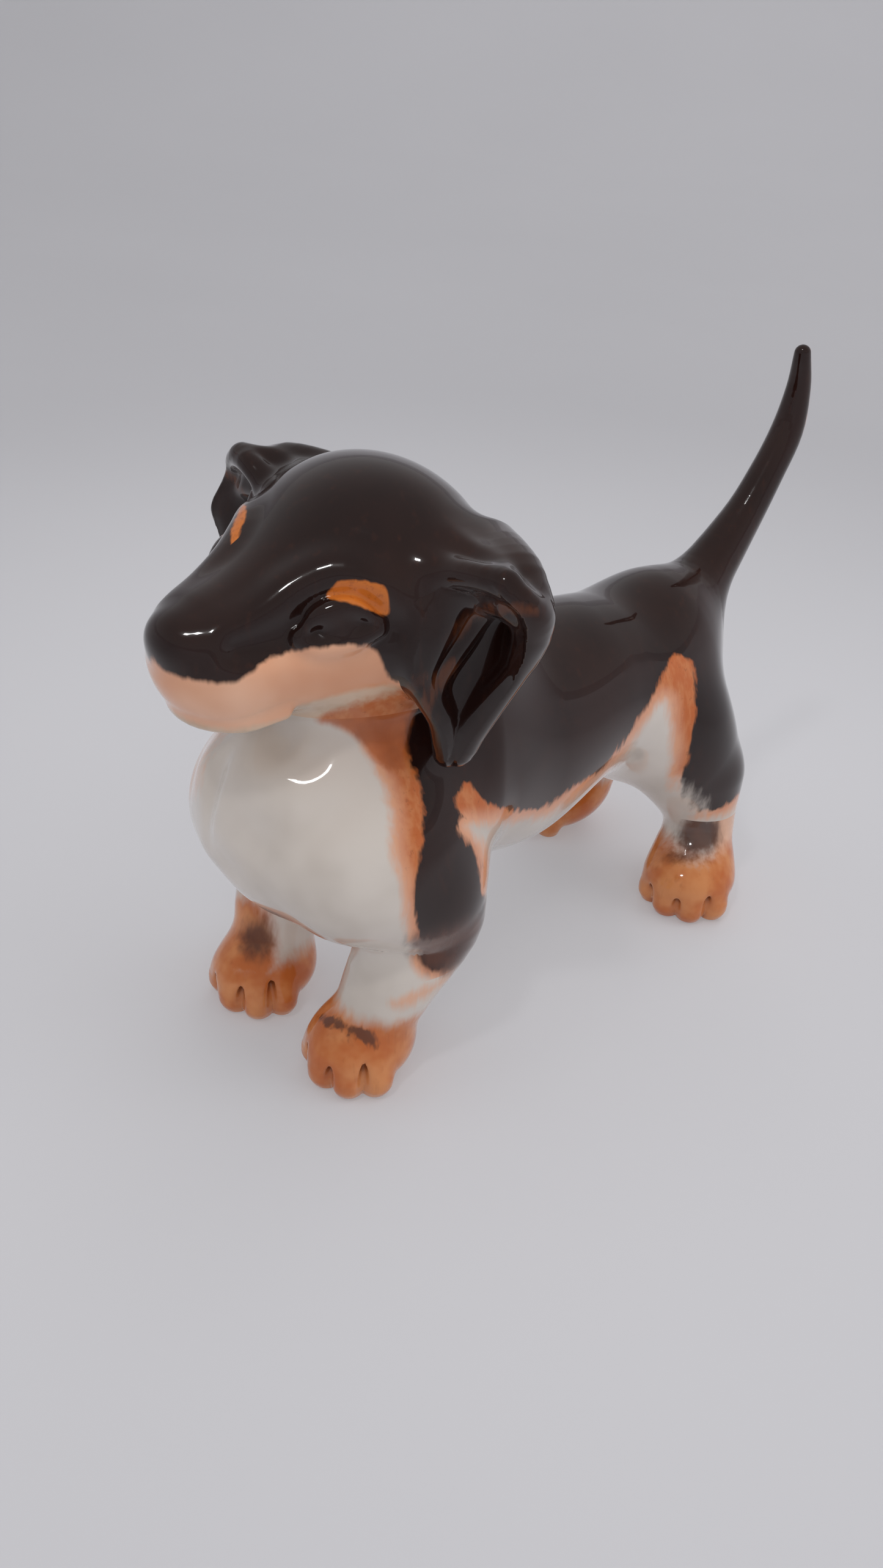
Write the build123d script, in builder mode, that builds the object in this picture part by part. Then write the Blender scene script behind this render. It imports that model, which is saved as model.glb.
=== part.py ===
from build123d import *
import os
from math import cos, sin, radians, pi, sqrt

# ---------------------------------------------------------------------------
# Ceramic dog figurine: a standing short-legged puppy, raised tail, drop ears.
# Slip-cast porcelain, nine castings joined before glazing. Millimetres.
# +Z up, the nose points to -Y, the puppy's left side is +X.
# Origin on the table, at the centre of the bounding box footprint.
# ---------------------------------------------------------------------------

# ---- driving dimensions ----------------------------------------------------
y_shift = -5.95          # moves the modelling frame so the bounding box is centred
wall = 2.8               # casting wall of torso and head
vent_d = 2.6             # kiln vent under the belly
vent_y = 9.0
neck_y, neck_z, neck_tilt = -19.0, 52.0, 9.2     # head to torso joint plane (deg)
elbow_z = 17.0           # foreleg to torso joint height
hock_z = 14.5            # hind leg to torso joint height
tail_joint = 2           # index of the spine row where tail meets rump

# ---- torso: stations along Y: y, centre z, eleven radii from belly to back --
TORSO = [
    (-42.2, 34.0, [3.4, 3.4, 3.5, 3.6, 3.7, 3.7, 3.6, 3.5, 3.4, 3.4, 3.4]),
    (-41.6, 34.0, [5.2, 5.2, 5.3, 5.5, 5.8, 5.7, 5.4, 5.2, 5.2, 5.2, 5.2]),
    (-40.5, 34.0, [7.5, 7.5, 7.6, 8.1, 8.8, 8.5, 7.8, 7.5, 7.5, 7.5, 7.5]),
    (-37.5, 34.0, [11.2, 11.2, 12.0, 14.4, 15.6, 14.6, 12.7, 11.4, 11.2, 11.2, 11.2]),
    (-33.0, 34.1, [14.0, 14.1, 15.6, 18.1, 18.5, 17.6, 16.0, 14.4, 14.0, 14.0, 14.0]),
    (-27.0, 34.2, [15.1, 15.3, 17.2, 19.5, 19.7, 18.7, 17.2, 15.7, 15.2, 15.2, 15.1]),
    (-20.0, 34.4, [14.6, 14.7, 16.0, 18.2, 18.5, 17.5, 15.8, 14.8, 14.6, 14.6, 14.6]),
    (-12.0, 35.2, [16.0, 15.6, 15.2, 15.4, 15.6, 15.0, 14.6, 15.0, 15.7, 16.2, 16.4]),
    (-3.0, 34.4, [16.5, 16.1, 15.1, 14.3, 13.8, 13.8, 14.4, 15.1, 15.8, 16.3, 16.4]),
    (6.0, 34.4, [15.5, 15.2, 14.6, 14.0, 13.7, 13.8, 14.1, 14.6, 15.0, 15.4, 15.5]),
    (16.0, 36.1, [13.4, 13.3, 13.1, 12.9, 12.8, 12.8, 12.9, 13.1, 13.3, 13.4, 13.4]),
    (25.0, 33.8, [14.7, 14.4, 13.7, 13.1, 12.8, 12.8, 13.1, 13.6, 14.1, 14.5, 14.7]),
    (33.0, 32.4, [14.2, 13.9, 13.2, 12.5, 11.9, 11.7, 11.9, 12.4, 13.1, 13.8, 14.4]),
    (39.0, 32.2, [11.1, 10.8, 10.2, 9.6, 9.1, 9.0, 9.1, 9.6, 10.6, 11.8, 12.6]),
    (42.5, 33.0, [6.8, 6.7, 6.3, 5.9, 5.6, 5.5, 5.9, 6.8, 7.8, 8.8, 9.4]),
    (43.8, 34.0, [4.2, 4.1, 3.9, 3.6, 3.4, 3.3, 3.6, 4.2, 4.9, 5.5, 5.8]),
]

# ---- neck: planes parallel to the neck joint: height, eleven radii ----------
NECK = [
    (44.5, [16.0, 16.0, 15.6, 14.6, 13.6, 13.0, 14.2, 15.8, 16.6, 17.0, 17.0]),
    (47.0, [16.6, 16.6, 15.6, 13.7, 12.4, 12.4, 13.6, 15.2, 16.3, 16.8, 17.0]),
    (49.5, [16.4, 15.6, 13.9, 12.7, 12.1, 12.2, 13.0, 14.2, 15.2, 16.0, 16.4]),
    (52.0, [15.8, 15.1, 13.9, 13.1, 12.8, 12.7, 12.9, 13.3, 13.8, 14.4, 14.7]),
]
NAPE = [
    (52.0, [15.8, 15.1, 13.9, 13.1, 12.8, 12.7, 12.9, 13.3, 13.8, 14.4, 14.7]),
    (54.5, [14.5, 14.4, 14.0, 13.6, 13.3, 13.2, 13.1, 13.0, 13.0, 13.2, 13.3]),
    (57.0, [12.5, 12.6, 12.8, 13.1, 13.4, 13.5, 13.2, 12.9, 12.7, 12.6, 12.6]),
    (59.5, [11.0, 11.2, 11.8, 12.5, 13.0, 13.2, 12.9, 12.3, 11.8, 11.6, 11.6]),
    (62.5, [10.0, 10.2, 10.8, 11.4, 11.9, 12.1, 11.7, 10.9, 10.2, 9.9, 9.8]),
]

# ---- head: stations along Y: y, centre z, eleven radii from jaw to crown ----
HEAD = [
    (-49.3, 58.3, [2.2, 2.2, 2.3, 2.3, 2.4, 2.4, 2.4, 2.3, 2.3, 2.2, 2.2]),
    (-48.8, 58.3, [3.4, 3.4, 3.5, 3.6, 3.7, 3.7, 3.7, 3.6, 3.5, 3.4, 3.4]),
    (-47.8, 58.3, [4.9, 5.0, 5.1, 5.2, 5.3, 5.4, 5.3, 5.2, 5.1, 5.0, 4.9]),
    (-45.5, 58.3, [6.7, 6.8, 7.0, 7.2, 7.3, 7.4, 7.3, 7.2, 7.0, 6.8, 6.7]),
    (-42.0, 58.5, [7.8, 7.8, 8.0, 8.2, 8.4, 8.4, 8.4, 8.2, 8.0, 7.8, 7.8]),
    (-37.0, 59.6, [9.0, 9.0, 9.2, 9.4, 9.6, 9.7, 9.6, 9.5, 9.2, 9.0, 9.0]),
    (-32.0, 61.0, [11.3, 11.3, 11.6, 11.9, 12.3, 12.4, 12.4, 12.1, 11.7, 11.4, 11.2]),
    (-27.0, 61.8, [13.3, 13.4, 13.8, 14.4, 15.0, 15.3, 15.1, 14.6, 13.9, 13.4, 13.3]),
    (-21.0, 62.1, [13.7, 13.9, 14.4, 15.1, 15.8, 16.2, 16.0, 15.3, 14.5, 13.9, 13.7]),
    (-15.0, 62.4, [11.3, 11.5, 12.0, 12.6, 13.3, 13.6, 13.4, 12.7, 12.0, 11.5, 11.3]),
    (-12.0, 62.5, [8.4, 8.5, 8.8, 9.4, 9.9, 10.1, 9.9, 9.4, 8.9, 8.5, 8.4]),
    (-10.2, 62.5, [5.1, 5.1, 5.4, 5.7, 6.0, 6.1, 6.0, 5.7, 5.4, 5.1, 5.1]),
    (-9.5, 62.5, [2.5, 2.5, 2.7, 2.8, 3.0, 3.0, 3.0, 2.8, 2.7, 2.6, 2.5]),
]
# brow ridges and eyes: x, y, z, radius (raised beads fused into the skull)
BROW = [(7.0, -31.0, 66.4, 4.2)]
EYE = [(9.2, -33.4, 63.2, 2.6)]

# ---- ears: level z, front x,y, rim x,y, scoop depth, half thickness ---------
EAR = [
    (45.6, 14.3, -23.3, 15.8, -22.2, 0.2, 0.9),
    (47.0, 13.9, -24.0, 16.2, -22.2, 0.6, 1.5),
    (50.0, 13.2, -26.4, 17.4, -22.0, 1.5, 1.9),
    (54.3, 12.9, -28.3, 19.3, -21.4, 2.6, 1.8),
    (59.2, 13.7, -27.9, 21.8, -20.9, 3.4, 1.7),
    (63.8, 14.5, -24.2, 24.0, -21.2, 3.2, 1.7),
    (67.6, 14.5, -21.8, 24.6, -22.3, 2.2, 1.9),
    (70.4, 12.9, -21.6, 22.8, -23.4, 0.8, 1.7),
    (71.9, 12.9, -21.6, 21.8, -23.0, 0.4, 0.8),
]

# ---- tail: spine points y, z and radius --------------------------------------
TAIL = [
    (35.0, 42.0, 5.6), (39.5, 43.9, 5.2), (43.6, 46.6, 4.4), (47.2, 49.9, 3.6),
    (50.4, 53.7, 3.1),
    (55.0, 60.0, 2.6), (58.4, 66.1, 2.4), (59.2, 72.2, 1.8), (58.6, 76.6, 1.4),
    (58.4, 78.3, 0.7),
]

# ---- legs: level z, centre x, centre y, sixteen radii counter-clockwise ------
FORELEG_LEFT = [
    (0.0, 10.3, -29.6, [4.8, 4.9, 5.1, 5.4, 5.5, 5.4, 5.1, 4.9, 4.8, 4.8, 5.0, 5.4, 5.6, 5.4, 5.0, 4.8]),
    (1.2, 10.3, -29.8, [5.4, 5.6, 5.9, 6.2, 6.3, 6.2, 5.9, 5.6, 5.4, 5.4, 5.6, 6.1, 6.5, 6.1, 5.6, 5.4]),
    (3.0, 10.3, -30.1, [6.3, 6.5, 7.0, 7.5, 7.7, 7.4, 6.9, 6.5, 6.3, 6.3, 6.7, 7.5, 7.9, 7.5, 6.7, 6.3]),
    (5.0, 10.4, -30.0, [6.4, 6.7, 7.3, 7.8, 8.0, 7.7, 7.2, 6.7, 6.5, 6.6, 7.1, 7.8, 8.2, 7.7, 6.9, 6.4]),
    (7.0, 10.6, -29.2, [6.0, 6.4, 6.9, 7.2, 7.2, 6.9, 6.5, 6.2, 6.0, 6.1, 6.6, 7.3, 7.6, 6.9, 6.2, 5.9]),
    (9.5, 11.2, -27.4, [5.7, 5.9, 6.1, 6.1, 6.1, 5.9, 5.7, 5.7, 5.7, 5.9, 6.1, 6.3, 6.2, 5.9, 5.7, 5.6]),
    (12.0, 11.6, -26.2, [5.9, 6.0, 6.2, 6.4, 6.4, 6.1, 5.8, 5.8, 5.8, 6.0, 6.2, 6.4, 6.3, 6.2, 6.0, 5.9]),
    (14.5, 11.9, -24.7, [6.1, 6.3, 6.7, 7.2, 7.4, 7.1, 6.5, 6.1, 6.1, 6.4, 6.8, 7.2, 7.2, 7.0, 6.6, 6.3]),
    (17.0, 12.0, -23.2, [6.6, 6.8, 7.2, 7.7, 7.9, 7.7, 7.2, 6.8, 6.5, 6.7, 7.2, 7.7, 7.8, 7.6, 7.1, 6.7]),
]
FORELEG_RIGHT = [
    (0.0, 9.1, -30.4, [4.8, 4.9, 5.1, 5.4, 5.5, 5.4, 5.1, 4.9, 4.8, 4.8, 5.0, 5.4, 5.6, 5.4, 5.0, 4.8]),
    (1.2, 9.1, -30.6, [5.4, 5.6, 5.9, 6.2, 6.3, 6.2, 5.9, 5.6, 5.4, 5.4, 5.6, 6.1, 6.5, 6.1, 5.6, 5.4]),
    (3.0, 9.1, -30.8, [6.3, 6.6, 7.1, 7.6, 7.7, 7.4, 6.9, 6.5, 6.3, 6.3, 6.8, 7.6, 8.0, 7.6, 6.8, 6.3]),
    (5.0, 9.3, -30.6, [6.4, 6.9, 7.6, 8.0, 8.0, 7.6, 7.1, 6.7, 6.6, 6.7, 7.2, 8.1, 8.4, 7.8, 6.9, 6.4]),
    (7.0, 9.5, -29.9, [6.1, 6.8, 7.5, 7.7, 7.4, 6.9, 6.5, 6.2, 6.2, 6.4, 7.0, 7.7, 7.8, 6.9, 6.1, 5.8]),
    (9.5, 10.2, -28.0, [6.0, 6.3, 6.7, 6.7, 6.3, 5.9, 5.6, 5.6, 5.9, 6.3, 6.7, 6.9, 6.5, 5.9, 5.7, 5.7]),
    (12.0, 10.9, -26.7, [5.9, 6.3, 6.9, 7.3, 6.9, 6.2, 5.8, 5.8, 6.2, 6.6, 7.0, 7.0, 6.7, 6.3, 6.0, 5.8]),
    (14.5, 11.3, -25.0, [6.3, 6.8, 7.7, 8.3, 8.0, 7.0, 6.2, 6.0, 6.3, 7.0, 7.8, 8.2, 7.8, 7.2, 6.6, 6.2]),
    (17.0, 11.6, -23.6, [6.7, 7.3, 8.2, 8.6, 8.5, 7.9, 7.1, 6.6, 6.7, 7.3, 8.2, 8.8, 8.5, 7.6, 6.9, 6.5]),
]
SHOULDER_LEFT = [
    (20.0, 12.0, -21.9, [7.1, 7.3, 7.6, 7.8, 7.8, 7.8, 7.6, 7.4, 7.1, 7.0, 7.3, 8.0, 8.3, 7.8, 7.2, 7.0]),
    (24.0, 11.6, -22.6, [7.0, 7.1, 7.3, 7.4, 7.4, 7.4, 7.2, 7.0, 6.9, 6.9, 7.0, 7.4, 7.6, 7.4, 7.1, 7.0]),
    (28.0, 11.0, -22.8, [5.8, 5.9, 6.0, 6.2, 6.2, 6.2, 6.0, 5.9, 5.8, 5.8, 5.9, 6.2, 6.3, 6.2, 6.0, 5.9]),
]
SHOULDER_RIGHT = [
    (20.0, 11.8, -22.3, [7.3, 7.7, 8.1, 8.3, 8.3, 8.1, 7.7, 7.3, 7.0, 7.3, 8.0, 8.8, 8.7, 7.8, 7.0, 6.9]),
    (24.0, 11.6, -22.6, [7.0, 7.1, 7.3, 7.4, 7.4, 7.4, 7.2, 7.0, 6.9, 6.9, 7.0, 7.4, 7.6, 7.4, 7.1, 7.0]),
    (28.0, 11.0, -22.8, [5.8, 5.9, 6.0, 6.2, 6.2, 6.2, 6.0, 5.9, 5.8, 5.8, 5.9, 6.2, 6.3, 6.2, 6.0, 5.9]),
]
HINDLEG = [
    (0.0, 14.4, 32.5, [5.0, 5.0, 5.1, 5.3, 5.6, 5.7, 5.5, 5.1, 4.8, 4.8, 5.1, 5.4, 5.6, 5.6, 5.4, 5.1]),
    (1.2, 14.4, 32.6, [6.0, 6.0, 6.1, 6.3, 6.7, 6.9, 6.6, 6.0, 5.7, 5.7, 6.0, 6.5, 6.7, 6.7, 6.4, 6.1]),
    (3.0, 14.3, 32.8, [6.7, 6.7, 6.8, 7.1, 7.5, 7.8, 7.6, 6.9, 6.4, 6.4, 6.8, 7.3, 7.7, 7.6, 7.3, 6.9]),
    (5.0, 14.1, 33.1, [7.4, 7.2, 7.3, 7.7, 8.3, 8.7, 8.6, 7.8, 7.0, 6.8, 7.3, 8.0, 8.5, 8.5, 8.1, 7.7]),
    (7.0, 13.7, 33.8, [7.0, 6.7, 6.8, 7.4, 8.1, 8.6, 8.5, 7.8, 6.9, 6.4, 6.6, 7.5, 8.3, 8.5, 8.1, 7.5]),
    (9.0, 12.8, 35.3, [6.0, 5.9, 6.0, 6.4, 6.9, 7.2, 7.2, 6.8, 6.3, 5.9, 5.7, 6.0, 6.8, 7.5, 7.2, 6.4]),
    (11.5, 11.6, 36.9, [5.5, 5.5, 5.6, 5.7, 5.7, 5.7, 5.7, 5.6, 5.6, 5.5, 5.5, 5.5, 5.6, 5.7, 5.8, 5.7]),
    (14.5, 10.5, 36.7, [6.1, 6.4, 6.4, 6.3, 6.2, 6.1, 5.9, 5.8, 5.8, 6.0, 6.4, 6.6, 6.4, 5.9, 5.7, 5.9]),
]
THIGH = [
    (17.0, 10.1, 35.9, [6.6, 7.0, 7.3, 7.4, 7.4, 7.2, 6.8, 6.5, 6.5, 6.7, 7.2, 7.7, 7.6, 6.9, 6.3, 6.2]),
    (20.0, 9.8, 35.1, [7.0, 7.6, 8.1, 8.4, 8.3, 8.0, 7.5, 7.1, 7.0, 7.3, 7.9, 8.5, 8.6, 8.0, 7.2, 6.8]),
    (24.0, 9.5, 34.0, [7.0, 7.4, 8.1, 8.6, 8.7, 8.3, 7.7, 7.2, 7.1, 7.3, 7.9, 8.6, 8.9, 8.5, 7.7, 7.1]),
    (28.0, 9.4, 32.9, [6.6, 6.8, 7.3, 7.9, 8.2, 7.9, 7.3, 6.8, 6.6, 6.8, 7.3, 7.9, 8.2, 7.9, 7.3, 6.8]),
    (32.0, 9.4, 32.0, [5.3, 5.5, 5.9, 6.4, 6.6, 6.4, 5.9, 5.5, 5.3, 5.5, 5.9, 6.3, 6.6, 6.3, 5.9, 5.5]),
    (35.0, 9.4, 31.4, [3.2, 3.3, 3.5, 3.8, 3.9, 3.8, 3.5, 3.3, 3.2, 3.3, 3.5, 3.8, 4.0, 3.8, 3.5, 3.3]),
    (35.9, 9.4, 31.2, [1.9, 1.9, 2.1, 2.2, 2.3, 2.2, 2.1, 1.9, 1.9, 1.9, 2.1, 2.3, 2.4, 2.3, 2.1, 1.9]),
]

HALF_ANGLES = [radians(-90 + 18 * i) for i in range(11)]
FULL_ANGLES = [radians(22.5 * i) for i in range(16)]


def station(zc, radii, inset=0.0):
    """Closed symmetric outline in (x, z) from eleven half-side radii."""
    right = [(max(r - inset, 0.6) * cos(a), zc + max(r - inset, 0.6) * sin(a))
             for r, a in zip(radii, HALF_ANGLES)]
    right[0] = (0.0, right[0][1])
    right[-1] = (0.0, right[-1][1])
    left = [(-x, z) for x, z in reversed(right[1:-1])]
    return right + left


def ring(cx, cy, radii, side=1):
    """Closed outline in (x, y) from sixteen radii; side -1 mirrors it in X."""
    pts = [(side * (cx + r * cos(a)), cy + r * sin(a)) for r, a in zip(radii, FULL_ANGLES)]
    return pts if side > 0 else list(reversed(pts))


def crescent(fx, fy, rx, ry, bulge, t, side=1):
    """Scooped ear outline in (x, y): chord from front edge to rim, bowed backwards."""
    cx, cy = rx - fx, ry - fy
    length = sqrt(cx * cx + cy * cy)
    ux, uy = cx / length, cy / length
    nx, ny = -uy, ux

    def at(u, off):
        v = bulge * 4 * u * (1 - u)
        s = 4 * bulge * (1 - 2 * u) / length
        k = sqrt(1 + s * s)
        return (fx + ux * (u * length - off * s / k) + nx * (v + off / k),
                fy + uy * (u * length - off * s / k) + ny * (v + off / k))

    def tip(u, sign):
        s = 4 * bulge * (1 - 2 * u) / length
        k = sqrt(1 + s * s)
        x, y = at(u, 0)
        return (x + sign * t * (ux + nx * s) / k, y + sign * t * (uy + ny * s) / k)

    pts = [at(u, -t) for u in (0.0, 0.25, 0.5, 0.75, 1.0)] + [tip(1.0, 1)]
    pts += [at(u, t) for u in (1.0, 0.75, 0.5, 0.25, 0.0)] + [tip(0.0, -1)]
    return [(side * x, y) for x, y in pts] if side > 0 else [(-x, y) for x, y in reversed(pts)]


os.makedirs("parts", exist_ok=True)
tilt = radians(neck_tilt)
neck_normal = (0.0, -sin(tilt), cos(tilt))


def neck_plane(z):
    return Plane(origin=(0, neck_y + y_shift, z), x_dir=(1, 0, 0), z_dir=neck_normal)


def tail_plane(i):
    """Plane across the tail spine at row i."""
    a, b = TAIL[max(i - 1, 0)], TAIL[min(i + 1, len(TAIL) - 1)]
    return Plane(origin=(0, TAIL[i][0] + y_shift, TAIL[i][1]), x_dir=(1, 0, 0),
                 z_dir=(0, b[0] - a[0], b[1] - a[1]))


# ---------------------------------------------------------------------------
# torso: barrel, chest, rump, shoulders, thighs and neck, hollow
# ---------------------------------------------------------------------------
with BuildPart() as torso:
    for y, zc, radii in TORSO:
        with BuildSketch(Plane.XZ.offset(-(y + y_shift))):
            with BuildLine():
                Spline(*station(zc, radii), periodic=True)
            make_face()
    loft()
    for z, radii in NECK:
        with BuildSketch(neck_plane(z)):
            with BuildLine():
                Spline(*station(0.0, radii), periodic=True)
            make_face()
    loft()
    for table, side in ((FORELEG_LEFT + SHOULDER_LEFT, 1), (FORELEG_RIGHT + SHOULDER_RIGHT, -1),
                        (HINDLEG + THIGH, 1), (HINDLEG + THIGH, -1)):
        for z, cx, cy, radii in table:
            with BuildSketch(Plane.XY.offset(z)):
                with BuildLine():
                    Spline(*ring(cx, cy + y_shift, radii, side), periodic=True)
                make_face()
        loft()
    # below elbow and hock the legs are their own castings
    for y0, y1, top in ((-60.0, 8.0, elbow_z), (8.0, 70.0, hock_z)):
        with BuildSketch(Plane.XY.offset(-5.0)):
            with Locations((0, (y0 + y1) / 2 + y_shift)):
                Rectangle(80, y1 - y0)
        extrude(amount=top + 5.0, mode=Mode.SUBTRACT)
    # tail root
    for i in range(0, tail_joint + 1):
        with BuildSketch(tail_plane(i)):
            Circle(TAIL[i][2])
    loft()
    # casting cavity: body, then neck
    for y, zc, radii in TORSO[3:-2]:
        with BuildSketch(Plane.XZ.offset(-(y + y_shift))):
            with BuildLine():
                Spline(*station(zc, radii, wall), periodic=True)
            make_face()
    loft(mode=Mode.SUBTRACT)
    for z, radii in NECK:
        with BuildSketch(neck_plane(z)):
            with BuildLine():
                Spline(*station(0.0, [r - wall for r in radii]), periodic=True)
            make_face()
    loft(mode=Mode.SUBTRACT)
    # kiln vent through the belly wall
    with BuildSketch(Plane.XY.offset(14.0)):
        with Locations((0, vent_y + y_shift)):
            Circle(vent_d / 2)
    extrude(amount=16.0, mode=Mode.SUBTRACT)
torso.part.label = "torso"

# ---------------------------------------------------------------------------
# head: skull, muzzle, brow beads, eyes, hollow
# ---------------------------------------------------------------------------
with BuildPart() as head:
    for y, zc, radii in HEAD:
        with BuildSketch(Plane.XZ.offset(-(y + y_shift))):
            with BuildLine():
                Spline(*station(zc, radii), periodic=True)
            make_face()
    loft()
    for z, radii in NAPE:
        with BuildSketch(neck_plane(z)):
            with BuildLine():
                Spline(*station(0.0, radii), periodic=True)
            make_face()
    loft()
    for x, y, z, r in BROW + EYE:
        with Locations((x, y + y_shift, z), (-x, y + y_shift, z)):
            Sphere(r)
    # everything below the neck joint belongs to the torso
    with BuildSketch(neck_plane(neck_z)):
        Rectangle(90, 120)
    extrude(amount=-40.0, mode=Mode.SUBTRACT)
    for y, zc, radii in HEAD[4:-3]:
        with BuildSketch(Plane.XZ.offset(-(y + y_shift))):
            with BuildLine():
                Spline(*station(zc, radii, wall), periodic=True)
            make_face()
    loft(mode=Mode.SUBTRACT)
    for z, radii in NAPE:
        with BuildSketch(neck_plane(z)):
            with BuildLine():
                Spline(*station(0.0, [r - wall for r in radii]), periodic=True)
            make_face()
    loft(mode=Mode.SUBTRACT)
head.part.label = "head"

# ---------------------------------------------------------------------------
# ears: scooped flaps bedded against the skull
# ---------------------------------------------------------------------------
with BuildPart() as ear_blank:
    for z, fx, fy, rx, ry, bulge, t in EAR:
        with BuildSketch(Plane.XY.offset(z)):
            with BuildLine():
                Spline(*crescent(fx, fy + y_shift, rx, ry + y_shift, bulge, t, -1), periodic=True)
            make_face()
    loft()
    add(head.part, mode=Mode.SUBTRACT)
    add(torso.part, mode=Mode.SUBTRACT)

with BuildPart() as ear_right:
    # the flap outside the skull; the sliver behind the skull wall is trimmed off
    add(ear_blank.part.solids().sort_by(SortBy.VOLUME)[-1])

with BuildPart() as ear_left:
    add(ear_right.part)
    mirror(about=Plane.YZ, mode=Mode.REPLACE)
ear_left.part.label = "ear_left"
ear_right.part.label = "ear_right"

# ---------------------------------------------------------------------------
# tail: tapered horn from the rump joint to the tip
# ---------------------------------------------------------------------------
with BuildPart() as tail:
    for i in range(tail_joint, len(TAIL)):
        with BuildSketch(tail_plane(i)):
            Circle(TAIL[i][2])
    loft()
tail.part.label = "tail"

# ---------------------------------------------------------------------------
# legs: flat-soled paws up to elbow or hock
# ---------------------------------------------------------------------------
with BuildPart() as foreleg_left:
    for z, cx, cy, radii in FORELEG_LEFT + SHOULDER_LEFT:
        with BuildSketch(Plane.XY.offset(z)):
            with BuildLine():
                Spline(*ring(cx, cy + y_shift, radii, 1), periodic=True)
            make_face()
    loft()
    with BuildSketch(Plane.XY):
        Rectangle(200, 200)
    extrude(amount=elbow_z, mode=Mode.INTERSECT)
foreleg_left.part.label = "foreleg_left"

with BuildPart() as foreleg_right:
    for z, cx, cy, radii in FORELEG_RIGHT + SHOULDER_RIGHT:
        with BuildSketch(Plane.XY.offset(z)):
            with BuildLine():
                Spline(*ring(cx, cy + y_shift, radii, -1), periodic=True)
            make_face()
    loft()
    with BuildSketch(Plane.XY):
        Rectangle(200, 200)
    extrude(amount=elbow_z, mode=Mode.INTERSECT)
foreleg_right.part.label = "foreleg_right"

with BuildPart() as hindleg_left:
    for z, cx, cy, radii in HINDLEG + THIGH:
        with BuildSketch(Plane.XY.offset(z)):
            with BuildLine():
                Spline(*ring(cx, cy + y_shift, radii, 1), periodic=True)
            make_face()
    loft()
    with BuildSketch(Plane.XY):
        Rectangle(200, 200)
    extrude(amount=hock_z, mode=Mode.INTERSECT)
hindleg_left.part.label = "hindleg_left"

with BuildPart() as hindleg_right:
    for z, cx, cy, radii in HINDLEG + THIGH:
        with BuildSketch(Plane.XY.offset(z)):
            with BuildLine():
                Spline(*ring(cx, cy + y_shift, radii, -1), periodic=True)
            make_face()
    loft()
    with BuildSketch(Plane.XY):
        Rectangle(200, 200)
    extrude(amount=hock_z, mode=Mode.INTERSECT)
hindleg_right.part.label = "hindleg_right"

# ---- export -----------------------------------------------------------------
export_step(torso.part, "parts/torso.step")
export_step(head.part, "parts/head.step")
export_step(ear_left.part, "parts/ear_left.step")
export_step(ear_right.part, "parts/ear_right.step")
export_step(tail.part, "parts/tail.step")
export_step(foreleg_left.part, "parts/foreleg_left.step")
export_step(foreleg_right.part, "parts/foreleg_right.step")
export_step(hindleg_left.part, "parts/hindleg_left.step")
export_step(hindleg_right.part, "parts/hindleg_right.step")
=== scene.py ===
import bpy
import math
import numpy as np
from mathutils import Vector, Matrix


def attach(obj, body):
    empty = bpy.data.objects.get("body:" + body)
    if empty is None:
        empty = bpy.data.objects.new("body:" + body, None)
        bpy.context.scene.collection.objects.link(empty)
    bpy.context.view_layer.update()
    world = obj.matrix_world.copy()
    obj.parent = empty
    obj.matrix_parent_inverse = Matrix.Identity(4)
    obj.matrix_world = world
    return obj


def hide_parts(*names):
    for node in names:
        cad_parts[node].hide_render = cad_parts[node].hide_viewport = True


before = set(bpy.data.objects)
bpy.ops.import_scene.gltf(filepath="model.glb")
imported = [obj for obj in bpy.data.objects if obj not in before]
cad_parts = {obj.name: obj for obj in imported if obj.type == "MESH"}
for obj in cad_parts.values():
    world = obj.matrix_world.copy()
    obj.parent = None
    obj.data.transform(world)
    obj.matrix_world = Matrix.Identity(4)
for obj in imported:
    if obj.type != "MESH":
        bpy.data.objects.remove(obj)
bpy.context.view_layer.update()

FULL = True
MM = 0.001
YS = -5.95          # modelling frame to row frame, mm along Y

# ---------------------------------------------------------------------------
# 1. implicit-surface kit (millimetres; nose towards -Y, left side +X, up +Z)
# ---------------------------------------------------------------------------

def rot(rx=0, ry=0, rz=0):
    rx, ry, rz = np.radians([rx, ry, rz])
    cx, sx, cy, sy, cz, sz = np.cos(rx), np.sin(rx), np.cos(ry), np.sin(ry), np.cos(rz), np.sin(rz)
    X = np.array([[1, 0, 0], [0, cx, -sx], [0, sx, cx]])
    Y = np.array([[cy, 0, sy], [0, 1, 0], [-sy, 0, cy]])
    Z = np.array([[cz, -sz, 0], [sz, cz, 0], [0, 0, 1]])
    return Z @ Y @ X


def frame_of(n, up=(0, 0, 1)):
    """Columns: tangent, second tangent, normal."""
    n = np.array(n, float)
    n /= np.linalg.norm(n)
    t = np.cross(up, n)
    t /= np.linalg.norm(t)
    return np.stack([t, np.cross(n, t), n], 1)


def ell(P, c, r, R=None):
    q = P - np.array(c, float)
    if R is not None:
        q = q @ R
    r = np.array(r, float)
    k0 = np.sqrt(((q / r) ** 2).sum(1))
    k1 = np.sqrt(((q / r ** 2) ** 2).sum(1)) + 1e-9
    return k0 * (k0 - 1) / k1


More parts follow.
